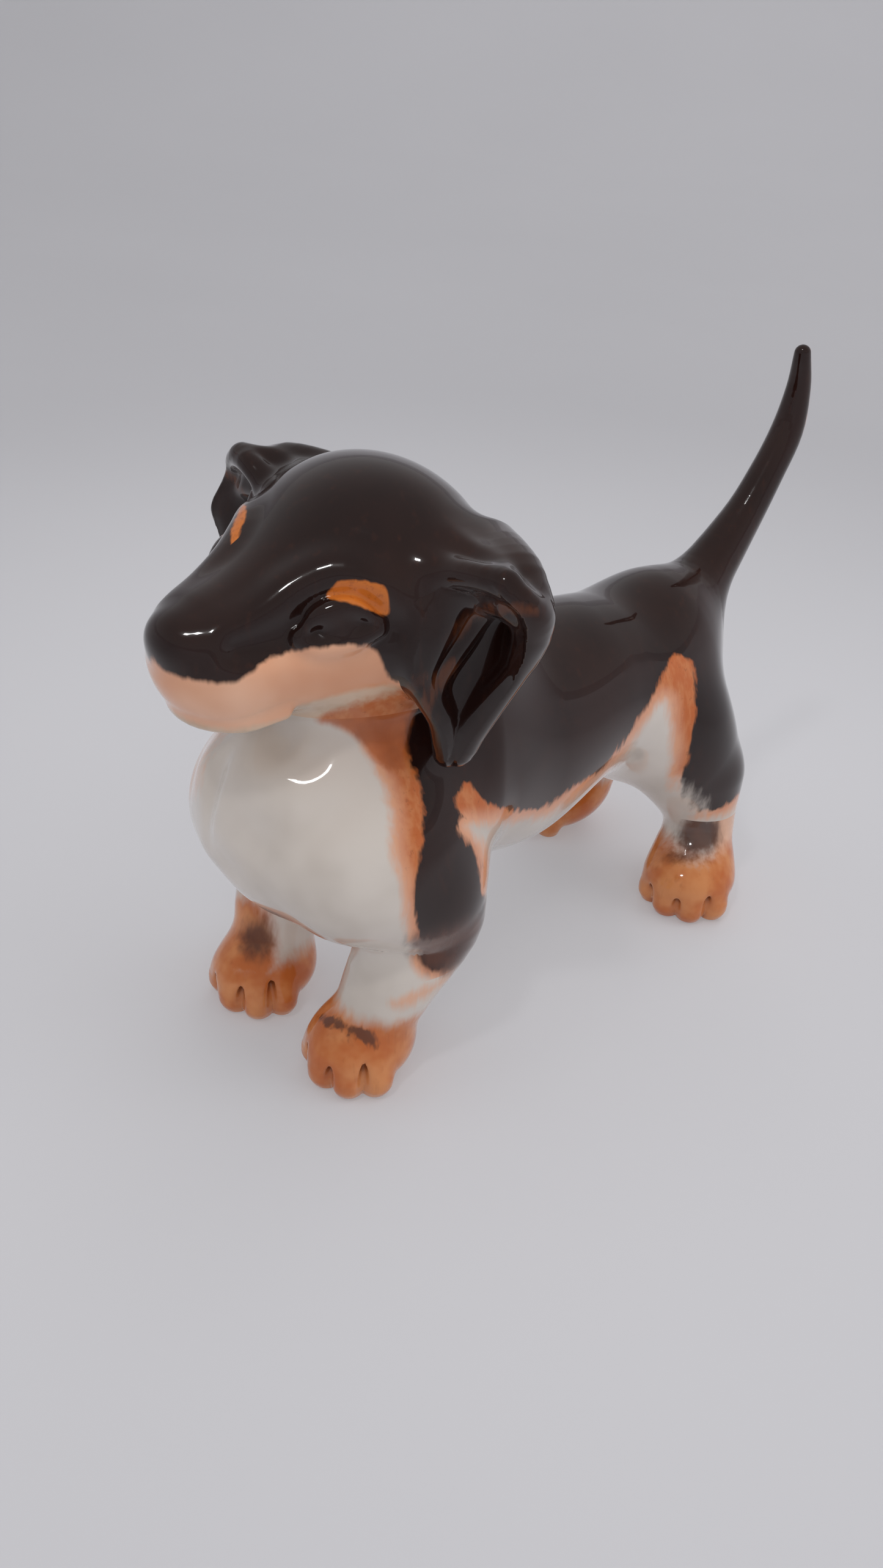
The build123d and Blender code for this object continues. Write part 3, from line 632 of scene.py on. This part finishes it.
# far edge of the shoulder patch, seen past the muzzle
SHOULDERP = [(330, 1215), (352, 1180), (400, 1170), (396, 1190), (360, 1215), (325, 1262), (306, 1290), (290, 1270)]


def paint(P, N, kind):
    """Paint fields for surface points P with outward normals N."""
    M = P.copy()
    M[:, 0] = np.abs(M[:, 0])
    side = np.sign(P[:, 0] + 1e-9)
    uv, z = sheet_uv(M)
    sc = z / FOC
    uv0, z0 = sheet_uv(P)
    sc0 = z0 / FOC
    big = 9.0
    none = np.full(len(P), big)
    F = {k: none for k in ("d_white", "d_orange", "d_tan", "d_brow", "d_paw", "d_patch", "d_smear", "d_jaw")}
    facing = (N * np.stack([side, np.ones(len(P)), np.ones(len(P))], 1)) @ BACK

    def sheet(poly, true=False):
        return poly_sd(uv0 if true else uv, closed(poly)) * (sc0 if true else sc)
    if kind == "torso":
        cw, co, fw, fo = sheet(CHESTW), sheet(CHESTO), sheet(FLANKW), sheet(FLANKO)
        front = P[:, 1] < -12
        mid = (P[:, 1] > -24) & (P[:, 1] <= 6)
        w = np.where(front, cw, fw)
        o = np.where(front, co, fo)
        o = np.where(mid, np.minimum(fo, np.where(front, co, big)), o)
        w = np.where(mid, np.minimum(fw, np.where(front, cw, big)), w)
        # undersides and the inner faces of the legs stay pale
        under = (N[:, 2] + 0.30) * 6.0 + np.maximum(0, P[:, 2] - 24) * 0.5
        inner = (N[:, 0] * side + 0.25) * 6.0 + np.maximum(0, P[:, 2] - 24) * 0.6
        o = np.minimum(o, w - 1.2)
        w = np.minimum(w, np.minimum(under, np.where(P[:, 2] < 26, inner, big)))
        o = np.minimum(o, sheet(SHOULDERP, True))
        F["d_white"], F["d_orange"] = w, o
        F["d_brow"] = np.where(front, sheet(THROAT), big)
        F["d_patch"] = np.where((facing > -0.1) & front, sheet(ELBOW), big)
        F["d_tan"] = np.where(front, np.minimum(sheet(WRISTS[0]), sheet(WRISTS[1])), big)
        F["d_tan"] = np.where(front & (P[:, 0] < 2), np.minimum(F["d_tan"], sheet(FARCHEST, True)), F["d_tan"])
    if kind == "leg":
        fore = P[:, 1] < 0
        F["d_white"] = -none
        F["d_paw"] = P[:, 2] - np.where(fore, 10.8, 10.0)
        if P[:, 1].mean() < 0:
            if P[:, 0].mean() > 0:
                e = []
                t = np.minimum(sheet(WRISTS[0]), sheet(WRISTS[1]))
                el = sheet(ELBOW)
            else:
                e = [(420, 1536, 26, 30)]
                t, el = none, none
                F["d_paw"] = np.minimum(P[:, 2] - 8.0, np.where(N @ BACK > -0.2, sheet(FARPAW, True), big))
        else:
            e = [(1144, 1366, 34, 34), (1120, 1402, 22, 8)]
            el = none
            # orange along the outer edge of the hock
            t = (1168 - uv[:, 0]) * sc + np.maximum(0, 0.0 - N[:, 0] * side) * 3
        q, s1 = (uv0, sc0) if P[:, 1].mean() < 0 else (uv, sc)
        pd = none
        for cx, cy, rx, ry in e:
            k = np.sqrt(((q[:, 0] - cx) / rx) ** 2 + ((q[:, 1] - cy) / ry) ** 2)
            pd = np.minimum(pd, (k - 1) * min(rx, ry) * s1)
        pd = np.where((N @ BACK if P[:, 1].mean() < 0 else facing) > 0.0, pd, big)
        F["d_patch"] = np.minimum(pd, el)
        if P[:, 1].mean() < 0 and P[:, 0].mean() > 0:
            F["d_brow"] = np.where(facing > 0, sheet(PAWMARK), big)
        F["d_tan"] = t
    if kind == "head":
        mz = sheet(MUZZLE)
        lipz = np.interp(M[:, 1], [-49, -45, -40, -34.8, -31.2, -29.6, -20], [53.4, 52.4, 52.8, 54.4, 55.6, 56.0, 56.5])
        low = (P[:, 2] - 57.0) * 0.8 + np.maximum(0, N[:, 2] + 0.35) * 6 + np.maximum(0, P[:, 1] + 28.0) * 0.8
        F["d_tan"] = np.minimum(np.where(facing > -0.3, mz, big), low)
        F["d_jaw"] = P[:, 2] - lipz + np.maximum(0, N[:, 2] + 0.1) * 3
        F["d_orange"] = np.where(P[:, 2] < 58, sheet(THROAT), big)
        F["d_brow"] = np.where(facing < 0.1, big, sheet(BROWMARK))
        F["d_brow"] = np.minimum(F["d_brow"], np.where((P[:, 0] < -4) & (P[:, 2] > 60) & (N @ BACK > -0.2), sheet(FARBROW, True), big))
    if kind in ("ear", "head"):
        sm = none
        for poly in SMEAR:
            sm = np.minimum(sm, sheet(poly))
        F["d_smear"] = np.where((facing > 0) & (P[:, 1] < -18) & (M[:, 0] > 12.5), sm, big)
    if kind == "tail":
        F["d_orange"] = (0.42 - N[:, 1]) * 4.0 + np.maximum(0, 50 - P[:, 2]) * 0.3
    return {k: np.clip(v, -big, big).astype(np.float32) for k, v in F.items()}


# ---------------------------------------------------------------------------
# 5. the nine castings
# ---------------------------------------------------------------------------
TILT = math.radians(9.2)
NECK_N = np.array([0, -math.sin(TILT), math.cos(TILT)])
NECK_O = np.array([0, -19.0, 52.0])
TAIL_O = np.array([0, 43.6, 46.6])
TAIL_N = np.array([0, 0.7, 0.6])
TAIL_N /= np.linalg.norm(TAIL_N)


def c_head(V):
    return -((V - NECK_O) @ NECK_N)


def c_nothead(V):
    a = (V - NECK_O) @ NECK_N
    return np.where(V[:, 1] > 4, -1.0, a)


def c_ear(V):
    body = smin(smin(torso(V), neck(V), 8), head(V), 5)
    return ear(V) - body - 0.3


def c_notear(V):
    return np.where((V[:, 1] < -8) & (V[:, 2] > 38), -c_ear(V), -1.0)


def c_tail(V):
    return -((V - TAIL_O) @ TAIL_N)


def c_nottail(V):
    return np.where(V[:, 1] > 25, -c_tail(V), -1.0)


def c_below(zz):
    return lambda V: V[:, 2] - zz


def c_torso_legs(V):
    return np.where(V[:, 1] < 8, 17.0, 14.5) - V[:, 2]


Q = 1.0 if FULL else 1.7
PIECES = [
    # name, node, kind, box low, box high, grid, cells, seed
    ("torso_casting", "torso", "torso", (-24, -46, 12), (24, 50, 58), 0.42 * Q, [c_nothead, c_notear, c_nottail, c_torso_legs], (0, 0, 34)),
    ("head_casting", "head", "head", (-20, -53, 46), (20, -4, 79), 0.27 * Q, [c_head, c_notear], (0, -26, 62)),
    ("ear_left_flap", "ear_left", "ear", (5, -36, 41), (30, -12, 76), 0.27 * Q, [c_ear], (20, -24, 60)),
    ("ear_right_flap", "ear_right", "ear", (-30, -36, 41), (-5, -12, 76), 0.27 * Q, [c_ear], (-20, -24, 60)),
    ("tail_horn", "tail", "tail", (-8, 38, 40), (8, 64, 81), 0.27 * Q, [c_tail], (0, 55, 62)),
    ("foreleg_left_casting", "foreleg_left", "leg", (0, -42, -1.5), (24, -10, 20), 0.27 * Q, [c_below(17.0)], (10, -28, 8)),
    ("foreleg_right_casting", "foreleg_right", "leg", (-24, -45, -1.5), (3, -10, 20), 0.27 * Q, [c_below(17.0)], (-8, -30, 8)),
    ("hindleg_left_casting", "hindleg_left", "leg", (0, 20, -1.5), (26, 50, 18), 0.27 * Q, [c_below(14.5)], (13, 34, 8)),
    ("hindleg_right_casting", "hindleg_right", "leg", (-26, 20, -1.5), (0, 50, 18), 0.27 * Q, [c_below(14.5)], (-13, 34, 8)),
]


def add_mesh(name, node, kind, V, T):
    g = grad(fused, V)
    N = g / np.maximum(np.linalg.norm(g, axis=1, keepdims=True), 1e-9)
    F = paint(V, N, kind)
    # close the joints inside the body so that every piece is a closed shell
    nv = len(V)
    extraV, extraT = [], []
    for loop in loops_of(T):
        c = V[loop].mean(0)
        inward = -N[loop].mean(0)
        c = c + 0.0 * inward
        if kind == "ear":
            c = c + np.array([-2.2 * np.sign(c[0]), 1.0, 0])
        if kind == "head" and abs(c[0]) > 5:
            c = c + np.array([-2.2 * np.sign(c[0]), 1.0, 0])
        k = nv + len(extraV)
        extraV.append(c)
        for i in range(len(loop)):
            extraT.append((loop[i], k, loop[(i + 1) % len(loop)]))
    ring = set()
    nT = len(T)
    if extraV:
        V = np.vstack([V, np.array(extraV)])
        N = np.vstack([N, np.zeros((len(extraV), 3))])
        T = np.vstack([T, np.array(extraT)])
        for k in F:
            F[k] = np.concatenate([F[k], np.full(len(extraV), 9.0, np.float32)])
    co = (V + np.array([0, YS, 0])) * MM
    me = bpy.data.meshes.new(name)
    me.vertices.add(len(co))
    me.vertices.foreach_set("co", co.astype(np.float32).ravel())
    me.loops.add(len(T) * 3)
    me.loops.foreach_set("vertex_index", T.astype(np.int32).ravel())
    me.polygons.add(len(T))
    me.polygons.foreach_set("loop_start", np.arange(0, len(T) * 3, 3, dtype=np.int32))
    me.polygons.foreach_set("use_smooth", np.ones(len(T), bool))
    me.update(calc_edges=True)
    me.validate()
    for k, v in F.items():
        a = me.attributes.new(k, 'FLOAT', 'POINT')
        a.data.foreach_set("value", v.astype(np.float32))
    nn = N[T.ravel()].copy()
    # cap faces are inside; give them their flat normals
    if len(T) > nT:
        fv = V[T[nT:]]
        fn = np.cross(fv[:, 1] - fv[:, 0], fv[:, 2] - fv[:, 0])
        fn /= np.maximum(np.linalg.norm(fn, axis=1, keepdims=True), 1e-9)
        nn[nT * 3:] = np.repeat(fn, 3, 0)
    me.normals_split_custom_set(nn.astype(np.float32).tolist())
    ob = bpy.data.objects.new(name, me)
    bpy.context.scene.collection.objects.link(ob)
    return ob


# ---------------------------------------------------------------------------
# 6. hand-painted glaze
# ---------------------------------------------------------------------------

class Nodes:
    def __init__(self, mat):
        mat.use_nodes = True
        self.t = mat.node_tree
        self.t.nodes.clear()

    def add(self, kind, **kw):
        n = self.t.nodes.new(kind)
        ins = kw.pop("ins", {})
        for k, v in kw.items():
            setattr(n, k, v)
        for k, v in ins.items():
            self.set(n, k, v)
        return n

    def set(self, n, k, v):
        s = n.inputs[k]
        if hasattr(v, "links") or isinstance(v, bpy.types.NodeSocket):
            self.t.links.new(v, s)
        else:
            s.default_value = v

    def attr(self, name):
        return self.add("ShaderNodeAttribute", attribute_name=name).outputs["Fac"]

    def math(self, op, a, b=0.0, c=None, clamp=False):
        n = self.add("ShaderNodeMath", operation=op, use_clamp=clamp)
        self.set(n, 0, a)
        self.set(n, 1, b)
        if c is not None:
            self.set(n, 2, c)
        return n.outputs[0]

    def ramp01(self, x, lo, hi, smooth=True):
        n = self.add("ShaderNodeMapRange", interpolation_type='SMOOTHSTEP' if smooth else 'LINEAR')
        n.clamp = True
        self.set(n, "Value", x)
        self.set(n, "From Min", lo)
        self.set(n, "From Max", hi)
        self.set(n, "To Min", 0.0)
        self.set(n, "To Max", 1.0)
        return n.outputs["Result"]

    def noise(self, scale, detail=3.0, rough=0.5, stretch=(1, 1, 1), offset=(0, 0, 0), dist=0.0):
        tc = self.add("ShaderNodeTexCoord").outputs["Object"]
        mp = self.add("ShaderNodeMapping")
        self.set(mp, "Vector", tc)
        mp.inputs["Scale"].default_value = stretch
        mp.inputs["Location"].default_value = offset
        n = self.add("ShaderNodeTexNoise")
        self.set(n, "Vector", mp.outputs[0])
        self.set(n, "Scale", scale)
        self.set(n, "Detail", detail)
        self.set(n, "Roughness", rough)
        self.set(n, "Distortion", dist)
        return n.outputs[0]

    def mix(self, fac, a, b):
        n = self.add("ShaderNodeMix", data_type='RGBA')
        self.set(n, 0, fac)
        self.set(n, 6, a)
        self.set(n, 7, b)
        return n.outputs[2]


def rgb(h):
    """sRGB 0-255 to linear."""
    out = []
    for c in h:
        c = c / 255.0
        out.append(c / 12.92 if c <= 0.04045 else ((c + 0.055) / 1.055) ** 2.4)
    return tuple(out) + (1.0,)


DARK = rgb((44, 24, 19))
DARK2 = rgb((30, 14, 11))
DARKWARM = rgb((64, 33, 21))
WHITE = rgb((219, 210, 201))
WHITE2 = rgb((200, 190, 180))
ORANGE = rgb((194, 104, 52))
ORANGE2 = rgb((210, 134, 84))
BURNT = rgb((132, 62, 28))
TAN = rgb((222, 158, 121))
TAN2 = rgb((242, 194, 164))
OLIVE = rgb((166, 134, 98))
CREAM = rgb((220, 194, 170))
PAW = rgb((188, 102, 50))
PAW2 = rgb((210, 138, 86))
BROWN = rgb((72, 44, 36))
SMEARC = rgb((104, 54, 24))
AMBER = rgb((208, 116, 44))


def glaze(name, kind):
    mat = bpy.data.materials.new(name)
    N = Nodes(mat)
    # brush wander: every painted edge is pushed about by strokes
    n1 = N.noise(160.0, 3.0, 0.55)
    n2 = N.noise(900.0, 2.0, 0.6, stretch=(1.0, 1.0, 0.22))
    wander = N.math('ADD', N.math('MULTIPLY', N.math('SUBTRACT', n1, 0.5), 1.6), N.math('MULTIPLY', N.math('SUBTRACT', n2, 0.5), 2.2))
    speck = N.noise(1500.0, 3.0, 0.65, offset=(3.1, 1.7, 0.4))
    cloud = N.noise(55.0, 3.0, 0.5, offset=(0.3, 0.9, 0.2))

    def edge(field, soft, amt, top=1.0):
        x = N.math('ADD', N.attr(field), N.math('MULTIPLY', wander, amt))
        r = N.ramp01(x, soft, -soft)
        return r if top == 1.0 else N.math('MULTIPLY', r, top)
    dark = N.mix(N.ramp01(cloud, 0.35, 0.7), DARK2, DARK)
    dark = N.mix(N.math('MULTIPLY', N.ramp01(n2, 0.55, 0.8), 0.35), dark, DARKWARM)
    col = dark
    orange = N.mix(N.math('MULTIPLY', N.ramp01(n2, 0.35, 0.7), 0.7), ORANGE, ORANGE2)
    orange = N.mix(N.math('MULTIPLY', N.ramp01(speck, 0.58, 0.74), 0.4), orange, BURNT)
    # the band starts burnt beside the dark and fades to peach beside the white
    fade = N.ramp01(N.attr("d_white"), 0.2, 2.6)
    orange = N.mix(fade, N.mix(0.55, orange, TAN2), orange)
    if kind in ("torso", "tail"):
        col = N.mix(edge("d_orange", 0.32, 0.7), col, orange)
    if kind in ("torso", "leg"):
        white = N.mix(N.ramp01(cloud, 0.4, 0.65), WHITE, WHITE2)
        col = N.mix(edge("d_white", 0.85, 0.7), col, white)
        col = N.mix(edge("d_tan", 0.8, 0.9, 0.75), col, N.mix(0.5, ORANGE2, TAN2))
    if kind == "leg":
        paw = N.mix(N.ramp01(n1, 0.35, 0.65), PAW, PAW2)
        paw = N.mix(N.math('MULTIPLY', N.ramp01(n2, 0.55, 0.8), 0.22), paw, BURNT)
        # painted shade: the paw colour darkens towards brown where ambient occlusion finds the creases between the toes
        ao = N.add("ShaderNodeAmbientOcclusion", samples=8, only_local=True)
        ao.inputs["Distance"].default_value = 0.0016
        painted_groove_shade = N.ramp01(ao.outputs["AO"], 0.35, 0.9)
        paw = N.mix(painted_groove_shade, N.mix(0.45, BROWN, ORANGE), paw)
        col = N.mix(edge("d_paw", 1.5, 0.9), col, paw)
    if kind in ("torso", "leg"):
        pt = N.mix(N.ramp01(n1, 0.35, 0.65), BROWN, N.mix(0.1, BROWN, ORANGE))
        col = N.mix(edge("d_patch", 1.3, 0.9, 0.92), col, pt)
        # deeper strokes: throat corner, marks over the toes
        col = N.mix(edge("d_brow", 0.5, 0.4, 0.85) if kind == "torso" else edge("d_brow", 0.35, 1.1, 0.8), col, N.mix(N.math('MULTIPLY', N.ramp01(n1, 0.35, 0.7), 0.6), ORANGE, BURNT) if kind == "torso" else BROWN)
    if kind == "head":
        tan = N.mix(N.ramp01(cloud, 0.35, 0.7), TAN, TAN2)
        jaw = N.mix(N.ramp01(n1, 0.4, 0.62), CREAM, N.mix(0.4, CREAM, OLIVE))
        tan = N.mix(edge("d_jaw", 0.7, 0.35), tan, jaw)
        col = N.mix(edge("d_tan", 0.3, 0.35), col, tan)
        col = N.mix(edge("d_orange", 0.6, 0.5, 0.9), col, orange)
        brow = N.mix(N.math('MULTIPLY', N.ramp01(speck, 0.50, 0.72), 0.4), AMBER, BURNT)
        col = N.mix(edge("d_brow", 0.16, 0.22), col, brow)
    if kind in ("head", "ear"):
        col = N.mix(edge("d_smear", 0.5, 0.5, 0.6), col, N.mix(N.ramp01(n2, 0.4, 0.6), SMEARC, DARKWARM))
    bs = N.add("ShaderNodeBsdfPrincipled")
    N.set(bs, "Base Color", col)
    # clear glaze over the painted body, with faint orange-peel
    rough = N.math('ADD', 0.16, N.math('MULTIPLY', N.ramp01(cloud, 0.3, 0.8), 0.08))
    N.set(bs, "Roughness", rough)
    bs.inputs["IOR"].default_value = 1.5
    bs.inputs["Specular IOR Level"].default_value = 0.1
    bs.inputs["Coat Weight"].default_value = 1.0
    bs.inputs["Coat Roughness"].default_value = 0.04
    bs.inputs["Coat IOR"].default_value = 1.42
    bump = N.add("ShaderNodeBump")
    bump.inputs["Strength"].default_value = 0.05
    bump.inputs["Distance"].default_value = 0.0003
    N.set(bump, "Height", N.noise(220.0, 2.0, 0.4))
    N.set(bs, "Normal", bump.outputs[0])
    N.set(bs, "Coat Normal", bump.outputs[0])
    out = N.add("ShaderNodeOutputMaterial")
    N.t.links.new(bs.outputs[0], out.inputs[0])
    return mat


MATS = {k: glaze("painted_glaze_" + k, k) for k in ("torso", "head", "ear", "tail", "leg")}
for name, node, kind, lo, hi, h, cells, seed in PIECES:
    V, T = mesh_piece(lo, hi, h, cells, seed)
    ob = add_mesh(name, node, kind, V, T)
    ob.data.materials.append(MATS[kind])
    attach(ob, "root")
    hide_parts(node)
    print(name, len(V), len(T))

# ---------------------------------------------------------------------------
# 7. studio: pale seamless sweep, soft light, camera
# ---------------------------------------------------------------------------
floor_mat = bpy.data.materials.new("seamless_paper")
FN = Nodes(floor_mat)
fcol = FN.mix(FN.noise(6.0, 3.0, 0.5), rgb((168, 167, 171)), rgb((174, 173, 177)))
fb = FN.add("ShaderNodeBsdfPrincipled")
FN.set(fb, "Base Color", fcol)
fb.inputs["Roughness"].default_value = 0.85
fb.inputs["Specular IOR Level"].default_value = 0.2
# painted light: the paper glows to fill the shadows, strongest under the figurine and less further out
ftc = FN.add("ShaderNodeTexCoord")
fln = FN.add("ShaderNodeVectorMath")
fln.operation = 'LENGTH'
FN.t.links.new(ftc.outputs["Object"], fln.inputs[0])
fb.inputs["Emission Color"].default_value = (0.97, 0.97, 1.0, 1)
FN.set(fb, "Emission Strength", FN.math('SUBTRACT', 0.22, FN.math('MULTIPLY', FN.ramp01(fln.outputs["Value"], 0.04, 0.3), 0.15)))
fo_ = FN.add("ShaderNodeOutputMaterial")
FN.t.links.new(fb.outputs[0], fo_.inputs[0])
# paper laid flat under the figurine and rising gently all round, far outside it
fv, ff = [], []
RR = [0.0, 0.3, 0.6, 0.8, 0.9, 1.0, 1.1, 1.2, 1.3, 1.4, 1.5]
NS = 96
for r_ in RR[1:]:
    h_ = 0.62 * max(0.0, (r_ - 0.6) / 0.9) ** 2
    for k in range(NS):
        t_ = 2 * math.pi * k / NS
        fv.append((r_ * math.cos(t_), r_ * math.sin(t_), h_))
fv.append((0, 0, 0))
for k in range(NS):
    ff.append((len(fv) - 1, k, (k + 1) % NS))
for j in range(len(RR) - 2):
    for k in range(NS):
        a_, b_ = j * NS + k, j * NS + (k + 1) % NS
        ff.append((a_, a_ + NS, b_ + NS, b_))
fm = bpy.data.meshes.new("sweep")
fm.from_pydata(fv, [], ff)
fm.polygons.foreach_set("use_smooth", [True] * len(ff))
floor = bpy.data.objects.new("sweep", fm)
floor.data.materials.append(floor_mat)
bpy.context.scene.collection.objects.link(floor)

bpy.context.scene.view_settings.view_transform = 'Standard'
world = bpy.data.worlds.new("studio")
bpy.context.scene.world = world
world.use_nodes = True
wt = world.node_tree
wt.nodes.clear()
wtc = wt.nodes.new("ShaderNodeTexCoord")
wsep = wt.nodes.new("ShaderNodeSeparateXYZ")
wramp = wt.nodes.new("ShaderNodeMapRange")
wmix = wt.nodes.new("ShaderNodeMix")
wmix.data_type = 'RGBA'
wbg = wt.nodes.new("ShaderNodeBackground")
wout = wt.nodes.new("ShaderNodeOutputWorld")
wt.links.new(wtc.outputs["Generated"], wsep.inputs[0])
wt.links.new(wsep.outputs[2], wramp.inputs[0])
wramp.inputs[1].default_value = 0.30
wramp.inputs[2].default_value = 0.80
wt.links.new(wramp.outputs[0], wmix.inputs[0])
wmix.inputs[6].default_value = (0.41, 0.41, 0.42, 1)
wmix.inputs[7].default_value = (0.34, 0.34, 0.345, 1)
wt.links.new(wmix.outputs[2], wbg.inputs[0])
wbg.inputs[1].default_value = 1.0
wt.links.new(wbg.outputs[0], wout.inputs[0])


def area(name, az, el, dist, sx, sy, power, color=(1, 1, 1)):
    """Soft box aimed at the figurine; az from the nose direction towards its left."""
    l = bpy.data.lights.new(name, 'AREA')
    l.shape = 'RECTANGLE'
    l.size = sx
    l.size_y = sy
    l.energy = power
    l.color = color
    o = bpy.data.objects.new(name, l)
    a, e = math.radians(az), math.radians(el)
    d = Vector((math.sin(a) * math.cos(e), -math.cos(a) * math.cos(e), math.sin(e)))
    target = Vector((0, 0, 0.045))
    o.location = target + d * dist
    o.rotation_euler = (-d).to_track_quat('-Z', 'Y').to_euler()
    bpy.context.scene.collection.objects.link(o)
    return o


area("key", 14, 60, 0.9, 0.07, 0.07, 0.75)
for o in [area("fill_top", 165, 74, 1.3, 1.2, 1.2, 5.5)] + [area("fill_%d" % k, az, 27, 1.3, 1.0, 0.7, p) for k, (az, p) in enumerate(((45, 2.6), (125, 3.7), (215, 2.5), (-45, 1.7)))]:
    o.visible_glossy = False

cam = bpy.data.cameras.new("camera")
cam.sensor_fit = 'AUTO'
cam.sensor_width = 36.0
cam.lens = FOC / 2567.0 * 36.0
cam.clip_start = 0.005
cam.clip_end = 20
cam.dof.use_dof = False
co = bpy.data.objects.new("camera", cam)
bpy.context.scene.collection.objects.link(co)
R = Matrix((RGT, UPV, BACK)).transposed()
co.matrix_world = Matrix.Translation((Vector(EYEPOINT) + Vector((0, YS, 0))) * MM) @ R.to_4x4()
bpy.context.scene.camera = co
